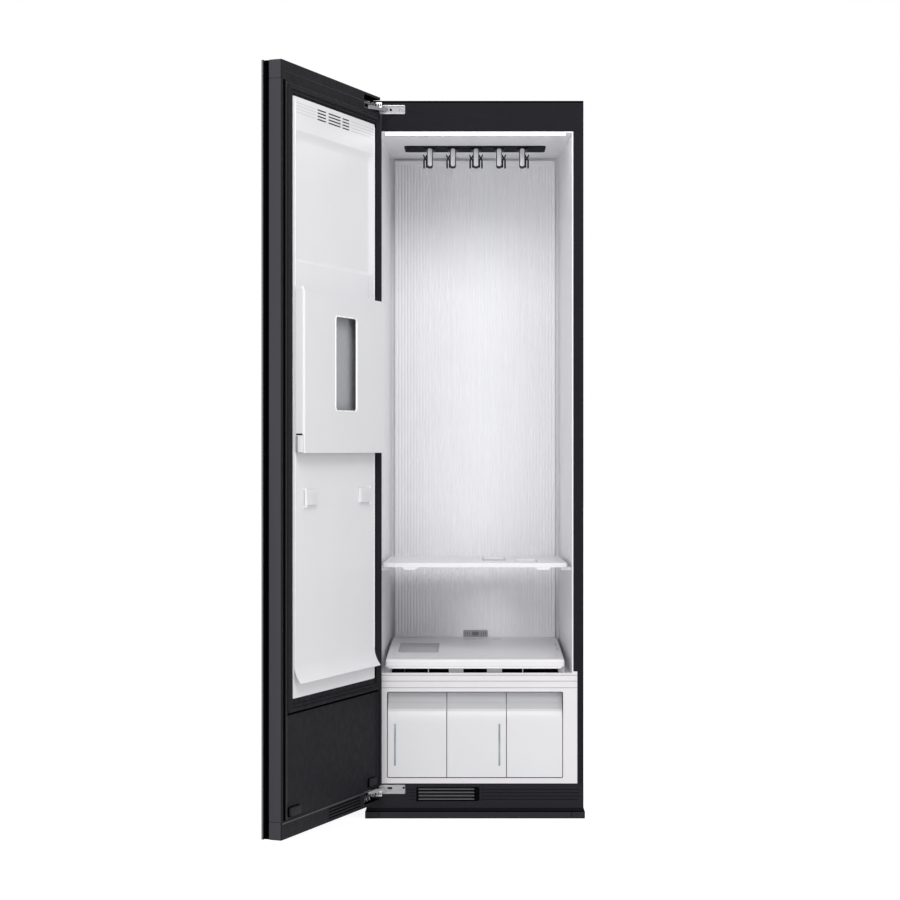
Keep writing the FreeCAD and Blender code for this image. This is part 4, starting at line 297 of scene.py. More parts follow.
hems = bmesh.new()
for side in (-1, 1):
    outside = sorted((side * CASE_X, side * (CASE_X + 0.5)))
    for y in ((0.4, 15), (524, 539.6)):
        block(hems, "x", y, (28, 1959.4), outside, 0.3, 0.25)
    for z in (60, 1000, 1925):
        rivet = ((6, 296.4), (6, 297), (5.2, 297.5), (1, 297.6))
        turned(hems, "x", (531.5, z), [(r, side * x) for r, x in rivet], 24)
piece("side_hems", hems, charcoal, "case", "charcoal_skin")

# Painted shadow: a near-black strip along the top of the front stands in for the shade of the gap under
# the lid's front edge.
lid_shadow = bmesh.new()
block(lid_shadow, "x", (-0.4, 0.3), (1954.8, 1959.3), (-295.2, 295.2), 0.25, 0.1)
piece("lid_front_shadow", lid_shadow, finish("seam black", (0.0015, 0.0015, 0.0018), 0.8, shine=0.0), "case",
      "charcoal_skin")

lid = bmesh.new()
field = (rounded((-262, 262), (72, 506), 16), rounded((-257, 257), (77, 501), 12))
pierced(lid, "z", rounded((-CASE_X, CASE_X), (40, CASE_BACK), 1), (CASE_TOP - 1, CASE_TOP), [field[0]])
lofted(lid, [[(a, b, z) for a, b in plan] for plan, z in
             ((field[0], CASE_TOP), (field[1], CASE_TOP - 1.6), (field[1], CASE_TOP - 2.4),
              (field[0], CASE_TOP - 1))], shut=False)
straight(lid, "z", field[1], (CASE_TOP - 2.4, CASE_TOP - 1.6))
piece("lid_panel", lid, charcoal, "case", "charcoal_skin", stands_for=("top_panel",))

screws = bmesh.new()
for x in (-240, -80, 80, 240):
    screw(screws, "z", (x, 524), CASE_TOP - 1.6, 1, 4.2, 1.5)
black_zinc = finish("black zinc screws", (0.03, 0.03, 0.03), 0.35, metal=0.8, grain=1800)
piece("lid_screws", screws, black_zinc, "case", "charcoal_skin")


# -------- back
# Galvanised sheet with two pressed fields for stiffness and rows of air slots, screwed to the
# side flanges. The mains cable enters low on the right through a nylon gland.
zinc = finish("galvanised sheet", (0.46, 0.47, 0.48), 0.4, mottle=70, mix=0.5, metal=0.75,
              flakes=160, grain=700, scuff=0.1)
BACK_Y = 539.0
SLOT_WIDE, SLOT_TALL, SLOT_PITCH, SLOT_FOOT = 60.0, 5, 14, 294
air_slots = [rounded((side * 90 - SLOT_WIDE, side * 90),
                     (SLOT_FOOT + row * SLOT_PITCH, SLOT_FOOT + SLOT_TALL + row * SLOT_PITCH), 2.3, 4)
             for row in range(6) for side in (-1, 0, 1)]
GLAND = (214, 118)
fields = [((-248, 248), (430, 1130)), ((-248, 248), (1190, 1905))]
FIELD_R = 22
back = bmesh.new()
pierced(back, "y", rounded((-295, 295), (27, 1959), 0.5, 2), (BACK_Y - 1, BACK_Y),
        air_slots + [circle(GLAND, 15, 32)] + [rounded(x, z, FIELD_R) for x, z in fields])
for x, z in fields:
    outside = ring("y", x, z, FIELD_R, [(0, BACK_Y), (0.5, BACK_Y + 0.2), (3.0, BACK_Y + 2.8),
                                        (3.6, BACK_Y + 3.0)], 6)
    inside = [[(a, y - 1, b) for a, y, b in loop] for loop in outside]
    lofted(back, outside + inside[::-1], shut=False)
    lofted(back, [inside[-1], outside[-1]])
piece("rear_sheet", back, zinc, "case", "galvanised", stands_for=("rear_panel",), smooth=12)

screen = bmesh.new()
block(screen, "y", (-170, 170), (286, 378), (534.5, 535.5), 3, 0.2)
for x in range(-168, 168, 14):
    block(screen, "z", (x, x + 2), (535, 536.4), (288, 376), 0.3, 0.2)
piece("air_slot_screen", screen, finish("screen black", (0.002, 0.002, 0.002), 0.8, shine=0.02), "case",
      "black_plastic")

fixings = bmesh.new()
for z in (60, 400, 760, 1160, 1560, 1920):
    for x in (-287, 287):
        screw(fixings, "y", (x, z), BACK_Y, 1, 4.0, 1.6)
piece("rear_screws", fixings, black_zinc, "case", "galvanised")

black_abs = finish("black moulded plastic", (0.0115, 0.0112, 0.0138), 0.48, mix=0.3, shine=0.05,
                   grain=2200, grain_depth=0.03)
gland = bmesh.new()
turned(gland, "y", GLAND, [(15, 537.6), (20, 537.6), (20, 539.6), (18.5, 540.4), (15, 540.6)], 6, False)
turned(gland, "y", GLAND, [(5, 530), (14.9, 530), (14.9, 541.5), (14.2, 542.3), (13.1, 542.4),
                           (13.1, 543.2), (14.0, 543.4), (14.0, 545.6), (12.2, 546.6), (8.4, 547),
                           (6.2, 546.7), (5, 545.8)], 36, False)
piece("cable_gland", gland, black_abs, "case", "black_plastic", stands_for=("power_inlet",), smooth=28)


# -------- base, skirt and feet
# A galvanised floor pan on two cross rails. Two levelling feet screw into the front rail and two
# fixed ones stand under the rear rail. A skirt of three black lengths clips round the bottom.
dress("base_pan", zinc, 0.4)
dress("base_skirt", finish("skirt plastic", (0.024, 0.0235, 0.027), 0.5, mix=0.3, shine=0.06,
                           grain=2200, grain_depth=0.03, scuff=0.06), 0.7)

# Painted shade: a black strip along the top of the skirt's toe stands in for the shadow gap under the
# plinth, and black plates behind the two seams stand in for the shade in them.
skirt_shadow = bmesh.new()
straight(skirt_shadow, "x", [(-12.0, 18.1), (-8.8, 20.7), (-8.4, 20.2), (-11.6, 17.6)], (-298.2, 298.2))
for x in (-263, 263):
    straight(skirt_shadow, "x", [(-11.4, 0.4), (12, 0.4), (12, 26.4), (-0.6, 26.2), (-11.4, 17.6)],
             (x - 0.49, x + 0.49))
piece("skirt_shadow_line", skirt_shadow, finish("joint black", (0.001, 0.001, 0.0012), 0.8, shine=0.0), "case",
      "black_plastic")
# Painted shade: a near-black cover over the skirt's sloping top stands in for the shade of its cove.
slope_shade = bmesh.new()
straight(slope_shade, "x", [(-8.8, 20.75), (-0.3, 27.1), (-0.1, 26.8), (-8.6, 20.4)], (-295.6, 295.6))
piece("skirt_slope_shade", slope_shade, finish("ledge black", (0.0085, 0.0083, 0.0095), 0.7, shine=0.02), "case",
      "black_plastic")


def foot(name, spots, body, node):
    """Ribbed pad, a hexagon to turn it by and a threaded stem."""
    bm = bmesh.new()
    for spot in spots:
        turned(bm, "z", spot, [(14, 0), (17.4, 0), (18, 0.6), (18, 2), (17.2, 2.4), (17.2, 3.2),
                               (17.8, 3.6), (17, 5.4), (14, 6), (8, 6.2)], 40)
        turned(bm, "z", spot, [(8.6, 5.8), (9.2, 6.4), (9.2, 10.6), (8.6, 11.2)], 6)
        thread = []
        for z in range(11, 40, 2):
            thread += [(4.4, z), (5, z + 0.7), (5, z + 1), (4.4, z + 1.7)]
        turned(bm, "z", spot, thread + [(4.4, 41.4), (3.6, 42)], 20)
    piece(name, bm, black_abs, body, "black_plastic", stands_for=(node,), smooth=30)


FOOT_X, FOOT_FRONT, FOOT_REAR = 240, 62, 486
foot("levelling_foot_left", [(-FOOT_X, FOOT_FRONT)], "foot_left", "front_foot_left")
foot("levelling_foot_right", [(FOOT_X, FOOT_FRONT)], "foot_right", "front_foot_right")
foot("levelling_feet_rear", [(-FOOT_X, FOOT_REAR), (FOOT_X, FOOT_REAR)], "case", "rear_feet")


# -------- plinth with its louvre
# Black moulded kick panel. Four slats stand in a mouth that is round at its right end, and fine
# grooves carry their lines on to both sides.
SLAT_Z = (50.5, 59.6, 68.7, 77.8)
MOUTH_X, MOUTH_Z = (-160.0, 12.0), (45.5, 84.5)


def lined(bm, x, z, grooves, deep):
    """Strip with fine level grooves across its face."""
    plan = [(3.0, z[0]), (0.0, z[0])]
    for line in grooves:
        plan += [(0.0, line - 1.0), (deep, line - 0.6), (deep, line + 0.6), (0.0, line + 1.0)]
    plan += [(0.0, z[1]), (3.0, z[1])]
    straight(bm, "x", plan, x)


plinth_black = finish("plinth black", (0.0165, 0.0159, 0.0190), 0.46, mix=0.3, shine=0.06, grain=2200,
                      grain_depth=0.03)
plinth = bmesh.new()
HINGE_Z, HINGE_SCREW_X = (78.1, 1935.5), (-230, -203)
screw_pits = [circle((x, HINGE_Z[0]), 2.3, 12) for x in HINGE_SCREW_X]
line_fields = [(-180, -163), (16, 284)]
pierced(plinth, "y", rounded((-295, 295), (27, 94), 0.4, 2), (0, 3),
        [rounded(MOUTH_X, MOUTH_Z, 5)] + screw_pits
        + [[(x[0], 44), (x[1], 44), (x[1], 86), (x[0], 86)] for x in line_fields])
piece("plinth_panel", plinth, plinth_black, "case", "black_plastic", 0.3, stands_for=("plinth_grille",))
grooves = bmesh.new()
for x in line_fields:
    lined(grooves, x, (44, 86), SLAT_Z, 2.4)
piece("plinth_lines", grooves, plinth_black, "case", "black_plastic", smooth=20)
slats = bmesh.new()
for z in SLAT_Z:
    straight(slats, "x", [(0.3, z - 1.1), (0.3, z + 0.9), (1.0, z + 1.4), (11, z + 3.6),
                          (11.4, z + 2.0), (1.0, z - 1.4)], (-160, -2))
piece("plinth_slats", slats, finish("slat grey", (0.090, 0.089, 0.096), 0.42, mix=0.3, shine=0.2),
      "case", "black_plastic", 0.2)
damper = bmesh.new()
block(damper, "y", (-3, 11.5), (45.6, 84.2), (1.2, 9), 5, 1.2)
for z in SLAT_Z:
    turned(damper, "y", (1.5, z), [(3.6, 1.6), (3.6, 0.5), (3.0, 0.1), (0.5, 0)], 16)
block(damper, "y", (-160.8, -154.6), (44, 84.6), (-0.2, 8), 1.2, 0.5)
block(damper, "y", (-161, 12.5), (44, 86), (13, 14.5), 4, 0.4)
piece("plinth_damper", damper, finish("damper black", (0.0015, 0.0015, 0.0018), 0.6, shine=0.02),
      "case", "black_plastic")


# -------- hanging space
# White moulded walls, ceiling and floor that narrow to the back. The back wall is a separate
# duct panel with upright flutes inside a smooth border, clipped over the air ducts.
liner_white = moulded("white liner", (0.80, 0.80, 0.82), mix=0.12)
dress("cabinet_liner liner_ceiling liner_floor", liner_white, 0.4)
dress("wall_insulation", finish("sprayed foam", (0.74, 0.7, 0.52), 0.85, mottle=30, grain=420,
                                grain_depth=0.5))

FLUTE = 9.0
PANEL_FRONT = 488.0
duct = bmesh.new()
border = rounded((-238, 238), (403, 1866), 6)
left, right, low, high = -232.0, 232.0, 458.0, 1850.0
window = rounded((left, right), (low, high), 16)
step = [point for point in window if point[1] > 600]
step += [(left, 470), (left + 10, 458), (-45, 458), (-45, 476), (48, 476), (48, 458),
         (right - 10, 458), (right, 470)]
pocket = rounded((-35.6, 38.2), (449.9, 470.1), 3.4)
pierced(duct, "y", border, (PANEL_FRONT, PANEL_FRONT + 3.2), [step, pocket])
pierced(duct, "y", rounded((-37.5, 40.1), (448, 472), 4), (PANEL_FRONT + 3, PANEL_FRONT + 11), [pocket])
block(duct, "y", (-38, 41), (447, 473), (PANEL_FRONT + 10, PANEL_FRONT + 11.8), 4, 0.3)
block(duct, "y", (-230, 230), (420, 1860), (PANEL_FRONT + 3.4, PANEL_FRONT + 11.9), 4, 1)
piece("duct_border", duct, liner_white, "case", "white_liner", 0.7, stands_for=("back_duct_panel",))
flutes = bmesh.new()
FLUTES_A_SIDE, FLUTE_STEPS = 26, 8
face = []
for i in range(FLUTES_A_SIDE * 2 * FLUTE_STEPS + 1):
    x = -FLUTES_A_SIDE * FLUTE + i * FLUTE / FLUTE_STEPS
    face.append((x, PANEL_FRONT + 1.9 - 0.75 * cos(2 * pi * x / FLUTE)))
face += [(side * FLUTES_A_SIDE * FLUTE, PANEL_FRONT + 4) for side in (1, -1)]
straight(flutes, "z", face, (452, 1856))
piece("duct_flutes", flutes, liner_white, "case", "white_liner", smooth=60)

grey_abs = finish("grey moulded plastic", (0.3, 0.3, 0.315), 0.42, mix=0.3, grain=1800)
dark_grey = finish("dark grey plastic", (0.12, 0.12, 0.13), 0.45, mix=0.3, grain=1800)
holder = bmesh.new()
block(holder, "y", (-35, 37.6), (450.5, 469.5), (485, 497), 3, 1)
piece("aroma_holder", holder, grey_abs, "cartridge", "grey_plastic", stands_for=("aroma_cartridge",))
inset = bmesh.new()
block(inset, "y", (-9, 11.6), (454.5, 465.5), (484.2, 486), 5, 0.4)
for x in (-29, -23, -17, 19.6, 25.6, 31.6):
    block(inset, "y", (x - 1.1, x + 1.1), (455, 465), (484.6, 486), 1, 0.2)
piece("aroma_vents", inset, dark_grey, "cartridge", "grey_plastic")


# -------- light over the opening
# A lamp bar under a milky plastic diffuser, with an end cap at each side. It is pressed up into
# the ceiling right behind the beam.
bar = bmesh.new()
block(bar, "x", (3.4, 18.6), (1868.0, 1873), (-236, 243), 2.4, 0.6)
piece("light_diffuser", bar, finish("lit diffuser", (1, 0.99, 0.98), 0.5, mix=0.1, glow=9.0), "case",
      "light_diffuser", stands_for=("light_bar",))
caps = bmesh.new()
for x in ((-246, -235.6), (242.6, 248)):
    block(caps, "x", (3, 19), (1867, 1873), x, 2.6, 0.8)
piece("light_end_caps", caps, finish("end cap glow", (0.8, 0.79, 0.79), 0.5, mix=0.2, glow=1.2), "case",
      "light_diffuser")


# -------- hanger drive over the ceiling
# Galvanised base plate with a motor, and a sliding carriage that a cam shakes from side to side.
# The cam sits under a moulded black pulley, and a rubber belt drives it from a small metal one.
dress("drive_base hanger_carriage", zinc, 0.3)
dress("cam_pulley", black_abs, 0.5)
aluminium = finish("mill aluminium", (0.66, 0.67, 0.69), 0.34, mottle=40, metal=0.9, grain=600)
dress("motor_pulley", aluminium, 0.3)
rubber = finish("black rubber", (0.0145, 0.0143, 0.0165), 0.62, mix=0.4, shine=0.05, grain=2600,
                grain_depth=0.02)
dress("drive_belt", rubber, 0.2)


# -------- slot plate and hanger hooks
# Five black moulded hooks drop from a dark plate in the ceiling and shake from side to side.
# Each has a satin silver strip let into its front and a fork that holds a hanger by its wire.
dress("hanger_slot_plate", finish("slot plate grey", (0.0085, 0.0085, 0.0098), 0.6, shine=0.03), 0.8)
HOOK_X = (-129.0, -63.0, 3.0, 69.0, 135.0)
HOOK_TOP, HOOK_FOOT = 1869.7, 1811.7
hooks = bmesh.new()
faces = bmesh.new()
for index, x in enumerate(HOOK_X):
    block(hooks, "y", (x - 8.5, x + 8.5), (HOOK_FOOT, HOOK_TOP), (256, 270.5), 6.5, 1.6)
    rim = [rounded((x - 8.5 + i, x + 8.5 - i), (HOOK_FOOT + i, HOOK_TOP - i / 2), 6.5 - i)
           for i in (0, 0.8, 1.9)]
    lofted(hooks, [[(a, y, b) for a, b in plan] for plan, y in
                   ((rim[0], 258), (rim[0], 255), (rim[1], 253.7), (rim[2], 253.5),
                    (rim[2], 254.6), (rim[2], 258))])
    block(hooks, "z", (x - 14.5, x + 14.5), (255, 274.5), (1861.7, HOOK_TOP), 4, 1.2)
    block(hooks, "z", (x - 6, x + 6), (256, 268), (1866, 1883), 0.5, 0.3)
    block(faces, "y", (x - 6.3, x + 6.3), (HOOK_FOOT + 5, HOOK_TOP - 2), (253.1, 254.8), 5.2, 0.5)
    for side in ((-1,) if index < 2 else (1,) if index > 2 else (-1, 1)):
        arm = [(14.4, 1812.4), (15.6, 1811.6), (18.4, 1811.6), (19.4, 1812.8), (19.4, 1834),
               (17.2, 1840.6), (19.8, 1848.6), (19.4, 1851), (17.4, 1851.2), (13.6, 1843.4),
               (9.6, 1851), (7.4, 1851), (7.4, 1846), (9.8, 1840.6), (7.4, 1836), (7.4, 1828),
               (9.4, 1830), (13.4, 1836.6), (14.4, 1833.6)]
        bridge = [(7.4, 1813.5), (10.8, 1813.5), (11.8, 1815), (11.8, 1832), (9.4, 1836), (7.4, 1836)]
        for plan in (arm, bridge):
            straight(hooks, "y", [(x + side * a, b) for a, b in plan], (258, 266))
piece("drop_hooks", hooks, finish("hook black", (0.0045, 0.0045, 0.005), 0.36, mix=0.3, shine=0.25,
                                  grain=1500), "hanger", "black_plastic", 0.5,
      stands_for=("hanger_hooks",))
piece("hook_strips", faces, finish("satin silver", (0.52, 0.52, 0.535), 0.38, mottle=30, mix=0.3,
                                   metal=0.35, stretch=(1, 1, 0.1)), "hanger", "hook_silver",
      stands_for=("hook_faces",))


# -------- slide-out shelf
# White moulded shelf with a turned-down rim, two finger tabs and two slots to hang ties
# through. It slides on ledges moulded to the side walls.
shelf_white = moulded("shelf white", (0.74, 0.733, 0.75))
dress("shelf", shelf_white, 0.9)
dress("shelf_rails", moulded("white moulded plastic", (0.70, 0.695, 0.715), mix=0.15), 0.6)
ribs = bmesh.new()
for x in (-190, -95, 0):
    block(ribs, "z", (x - 1, x + 1), (70, 396), (684, 688.6), 0.4, 0.3)
block(ribs, "z", (-240, 10), (225, 227), (684, 688.6), 0.4, 0.3)
piece("shelf_ribs", ribs, shelf_white, "shelf", "white_plastic")


# -------- sloping tray
# White moulded floor with a rounded front lip over the return air gap, a grey louvred cover
# over the steam outlet and a fine line down each side.
dress("floor_tray", shelf_white, 0.3)
LIP = Vector((0, 25, 430))
TILT = atan2(18, 459)
TRAY = Matrix.Translation(LIP) @ Matrix.Rotation(TILT, 4, "X") @ Matrix.Translation(-LIP)
GRILLE_X, GRILLE_Y = (-217.0, -103.0), (165.0, 360.0)


def on_tray(bm):
    """Tips level work on to the slope of the tray."""
    bm.transform(TRAY)
    return bm


grille = bmesh.new()
mouth = rounded((GRILLE_X[0] + 5, GRILLE_X[1] - 5), (GRILLE_Y[0] + 6, GRILLE_Y[1] - 6), 2)
pierced(grille, "z", rounded(GRILLE_X, GRILLE_Y, 3), (425, 430), [mouth])
for i in range(15):
    y = GRILLE_Y[0] + 12 + i * 12.2
    straight(grille, "x", [(y - 4.6, 426.2), (y - 3.6, 425.6), (y + 4.4, 428.8), (y + 4.4, 429.8),
                           (y + 3.2, 429.8)], (GRILLE_X[0] + 4, GRILLE_X[1] - 4))
block(grille, "z", (-161, -159), (GRILLE_Y[0] + 4, GRILLE_Y[1] - 4), (425.2, 427), 0.4, 0.2)
louvre_grey = finish("louvre grey", (0.36, 0.36, 0.372), 0.42, mix=0.3, grain=1800)
piece("steam_louvre", on_tray(grille), louvre_grey, "case", "grey_plastic", 0.3,
      stands_for=("steam_grille",))
catches = bmesh.new()
for x in ((-34, 4), (8, 22), (50, 78)):
    block(catches, "z", x, (446, 449), (430.02, 431.2), 1.2, 0.5)
for y in (232, 330):
    block(catches, "z", (231.5, 234.5), (y - 24, y + 24), (430.02, 431.0), 1, 0.4)
block(catches, "z", (-226, 232), (65.4, 67), (430.0, 430.35), 0.4, 0.1)
piece("tray_catches", on_tray(catches), finish("catch grey", (0.42, 0.415, 0.43), 0.42, mix=0.3),
      "case", "white_plastic")
# Painted shade: dark plates on the liner floor under the tray's lip stand in for the shade in the
# return air gap.
gap_shade = bmesh.new()
for x in ((-243, -197.5), (197.5, 243)):
    block(gap_shade, "z", x, (40, 150), (390.1, 390.9), 1, 0.2)
block(gap_shade, "z", (-243, 243), (30, 79.5), (390.1, 390.9), 1, 0.2)
piece("return_gap_shade", gap_shade, finish("trough grey", (0.02, 0.02, 0.021), 0.7, shine=0.05), "case",
      "white_liner")
bead = bmesh.new()
block(bead, "x", (23.4, 29), (404.8, 409.4), (-237.5, 237.5), 2.0, 0.9)
piece("tray_lip_bead", bead, finish("bead white", (0.80, 0.79, 0.80), 0.34, mix=0.1), "case",
      "white_plastic")


# -------- fascia and the bay behind it
# White moulded frame with three fine lines over the modules, clipped to the case front. The bay
# behind it is a plain moulded box that the three modules slide into.
dress("fascia_frame", moulded("fascia white", (0.69, 0.675, 0.695)), 0.35)
dress("tank_bay", finish("bay grey", (0.28, 0.28, 0.3), 0.5), 0.4)
rules = bmesh.new()
for z in (389.0, 372.8, 354.7):
    block(rules, "x", (0.5, 1.6), (z + 0.05, z + 1.35), (-279, 279), 0.1, 0.05)
piece("fascia_line_shadows", rules, finish("line grey", (0.22, 0.22, 0.23), 0.6, mix=0.2, shine=0.1),
      "case", "white_plastic")
rim = bmesh.new()
outer = rounded((-240.5, 240.5), (108.8, 344.6), 5)
inner = rounded((-239.2, 239.2), (110.2, 343.0), 4)
lofted(rim, [[(a, y, b) for a, b in plan] for plan, y in
             ((outer, 0.6), (outer, -0.35), (inner, -0.35), (inner, 0.6))], shut=False)
piece("bay_rim", rim, finish("rim shadow", (0.03, 0.03, 0.032), 0.6, shine=0.1), "case", "grey_plastic")


# -------- water tanks and drawer
# Three pull-out modules. Each white front curves back into a hand recess, whose shade is painted
# in grey bands across its top; the two tanks have a lid, a screw cap and a tinted level window.
dress("supply_tank drain_tank accessory_drawer", moulded("module white", (0.67, 0.665, 0.685)), 0.7)
# Painted shade: the grey band at the top of each recess and the grey strips down its hollow stand in
# for the shade that falls into the recess under the fascia.
painted_band_shade = moulded("painted grip band shade", (0.44, 0.44, 0.458), 0.4, 0.15, 0.3)
painted_hollow_shade = moulded("grip hollow", (0.43, 0.428, 0.44), 0.4, 0.1, 0.3)
painted_fade_shade = moulded("grip fade", (0.56, 0.555, 0.57), 0.4, 0.1, 0.3)
GRIP_R = 50.5
GRIP_FRONT, GRIP_FOOT = 16, 318
MODULES = (("supply_tank", -238.6, -78.3), ("drain_tank", -76.3, 84.8), ("drawer", 86.8, 238.6))
for body, low, high in MODULES:
    band = bmesh.new()
    block(band, "y", (low + 0.6, high - 0.6), (312.6, 342.2), (14.7, 17), 1, 0.4)
    block(band, "y", (low + 0.6, high - 0.6), (339.0, 342.2), (13.8, 16), 1, 0.5)
    piece(body + "_band_painted_shade", band, painted_band_shade, body, "white_plastic")
    for part, start, arc, steps, sink, grey in (("_hollow_painted_shade", 0, 26, 8, 0, painted_hollow_shade),
                                                ("_fade_painted_shade", 25.8, 7.4, 4, 0.05, painted_fade_shade)):
        strip = bmesh.new()
        curve = []
        for step in range(steps + 1):
            turn = radians(start + arc * step / steps)
            curve.append((GRIP_FRONT - GRIP_R * (1 - cos(turn)) - 0.4 + sink * step,
                          GRIP_FOOT - GRIP_R * sin(turn)))
        curve += [(y + 1.2, z) for y, z in curve[::-1]]
        straight(strip, "x", curve, (low + 0.7, high - 0.7))
        piece(body + part, strip, grey, body, "white_plastic", smooth=60)
    shade = bmesh.new()
    middle = (low + high) / 2
    block(shade, "y", (middle - 12, middle + 12), (330.5, 334), (14.8, 16), 1.5, 0.4)
    piece(body + "_grip_mark", shade, grey_abs, body, "white_plastic")

WINDOW_Z = (142.0, 257.0)
for body, node, x, slot, deep, pale in (
        ("supply_tank", "supply_level_window", -221.6, "level_blue",
         (0.115, 0.15, 0.19), (0.31, 0.385, 0.46)),
        ("drain_tank", "drain_level_window", 64.1, "level_green",
         (0.115, 0.175, 0.158), (0.31, 0.43, 0.39))):
    glazing = bmesh.new()
    block(glazing, "y", (x, x + 5), WINDOW_Z, (0.15, 1.5), 2.2, 0.4)
    tinted = finish(node.replace("_", " "), deep, 0.12, second=pale, mottle=14, mix=0.8, coat=0.6,
                    grain_depth=0.002)
    piece(node.replace("_window", "_glazing"), glazing, tinted, body, slot, stands_for=(node,))
for body, low, high in MODULES[:2]:
    middle = (low + high) / 2
    top = bmesh.new()
    ridged = []
    for i in range(48):
        reach = 24.6 if i % 2 else 25.4
        ridged.append((cos(i * pi / 24) * reach, sin(i * pi / 24) * reach))
    lofted(top, [[(middle + a * k, 82 + b * k, z) for a, b in ridged] for k, z in
                 ((0.99, 335.2), (1, 335.8), (1, 338.0), (0.96, 338.9), (0.8, 339.2))])
    block(top, "z", (middle - 3, middle + 3), (62, 102), (338.8, 340.4), 2.9, 0.8)
    block(top, "z", (middle - 46, middle + 46), (150, 190), (335, 336.4), 8, 0.6)
    piece(body + "_cap", top, grey_abs, body, "white_plastic", smooth=30)


# -------- machine room
# Heat pump, blower, steam boiler and pumps stand on the floor pan behind the bay; the control
# box sits over the ceiling. Enamelled, plated, moulded and drawn parts as bought in.
dress("compressor", finish("black enamel", (0.012, 0.012, 0.012), 0.26, coat=0.3, peel=200), 0.6)
dress("heat_exchangers", aluminium)
dress("blower_housing blower_wheel water_pumps", black_abs, 0.4)
dress("steam_boiler", zinc, 0.4)
dress("steam_hose", rubber)
dress("refrigerant_pipes", finish("drawn copper", (0.60, 0.27, 0.15), 0.28, second=(0.35, 0.16, 0.1),
                                  mottle=25, metal=1.0, mix=0.6))
dress("control_box", grey_abs, 0.8)


# -------- door hinges
# Bright nickel-plated steel. A plate is screwed to the case front, its cranked tongue carries
# the pin, and the door's arms close round it with riveted links in a pocket of the door.
nickel = finish("bright nickel", (0.30, 0.30, 0.31), 0.3, second=(0.21, 0.21, 0.225), mottle=24,
                mix=0.6, metal=0.9, grain=700, grain_depth=0.004, stretch=(0.2, 1, 1), scuff=0.08)
dress("hinge_brackets hinge_arms", nickel, 0.5)


def levels(z, way, near, far):
    """Two heights at distances from a hinge's middle, the lower one first."""
    return sorted((z + way * near, z + way * far))


plates, sockets, hole_shade, arms, cranks, pocket_shade = (bmesh.new() for _ in range(6))
for z, turn in zip(HINGE_Z, (1, -1)):
    block(plates, "y", (-261, -193), levels(z, -turn, 12.3, 7.5), (-4.3, -2.6), 1.5, 0.7)
    block(plates, "y", (-258, -194), levels(z, turn, 9.5, 12.2), (-3.6, -2.6), 1, 0.4)
    for x in HINGE_SCREW_X:
        rim = [(4.4, -3.0), (4.4, -3.7), (4.0, -3.9), (2.9, -3.9), (2.7, -3.8), (2.7, -2.2), (2.2, 9)]
        turned(sockets, "y", (x, z), rim, 24)
    if turn < 0:
        turned(hole_shade, "y", (HINGE_SCREW_X[0], z - 1), [(3.3, -2.4), (3.3, -4.0), (2.9, -4.1)], 20)
    else:
        block(hole_shade, "y", (-239, -226), (z + 1.2, z + 6.2), (-4.1, -3), 2.4, 0.2)
        block(hole_shade, "y", (-198, -191.4), (z + 2, z + 7), (-4.1, -3), 2.2, 0.2)
    block(cranks, "y", (-271, -253.5), levels(z, -turn, 12.8, 17.2), (-15, -11), 1.2, 0.5)
    block(cranks, "y", (-270, -253.5), levels(z, -turn, 1.5, 5.4), (-24, -11), 1.2, 0.5)
    for x in (-268, -262.4, -256.8):
        block(cranks, "y", (x, x + 2.2), levels(z, -turn, 4, 14), (-15.4, -12), 0.6, 0.2)
    turned(cranks, "y", (-278, z - turn * 10.2), [(5.4, -30), (5.4, -27.2), (4.4, -26.4), (2.6, -26.4),
                                                  (2.4, -27.2), (2.4, -30)], 20, False)
    leg = [(-290, 15.8), (-286.6, 15.8), (-281.4, 4.4), (-284.8, 4.4)]
    straight(cranks, "y", [(x, z - turn * h) for x, h in leg], (-32.6, -30.6))
    for side in (-1, 1):
        seat = z + side * 9.3
        turned(plates, "z", HINGE_PIN,
               [(r, seat + side * h) for r, h in ((5.4, 0), (5.4, 0.6), (4.6, 1.4), (2.2, 1.7))], 24)
        for centre, head in (((-214, -36), ((5, 8.6), (5, 10.2), (4, 11), (1.6, 11.2))),
                             ((-249, -40), ((4.4, 8.6), (4.4, 10), (3.4, 10.8), (1.6, 11)))):
            turned(arms, "z", centre, [(r, z + side * h) for r, h in head], 20)
        link = []
        for end, centre in ((0, (-214, -36)), (1, (-249, -40))):
            for j in range(9):
                angle = radians(-84 + 180 * end + 22.5 * j)
                link.append((centre[0] + 6 * cos(angle), centre[1] + 6 * sin(angle)))
        straight(arms, "z", link, levels(z, side, 8.4, 9.9))
piece("hinge_plate_trim", plates, nickel, "case", "hinge_steel", smooth=35)
chrome = finish("bright link steel", (0.78, 0.78, 0.79), 0.3, metal=0.8, mottle=130, mix=0.85,
                second=(0.22, 0.22, 0.23), grain_depth=0.004)
piece("hinge_crank_links", cranks, chrome, "case", "hinge_steel", smooth=35)
piece("hinge_sockets", sockets, nickel, "case", "hinge_steel", stands_for=("hinge_screws",))
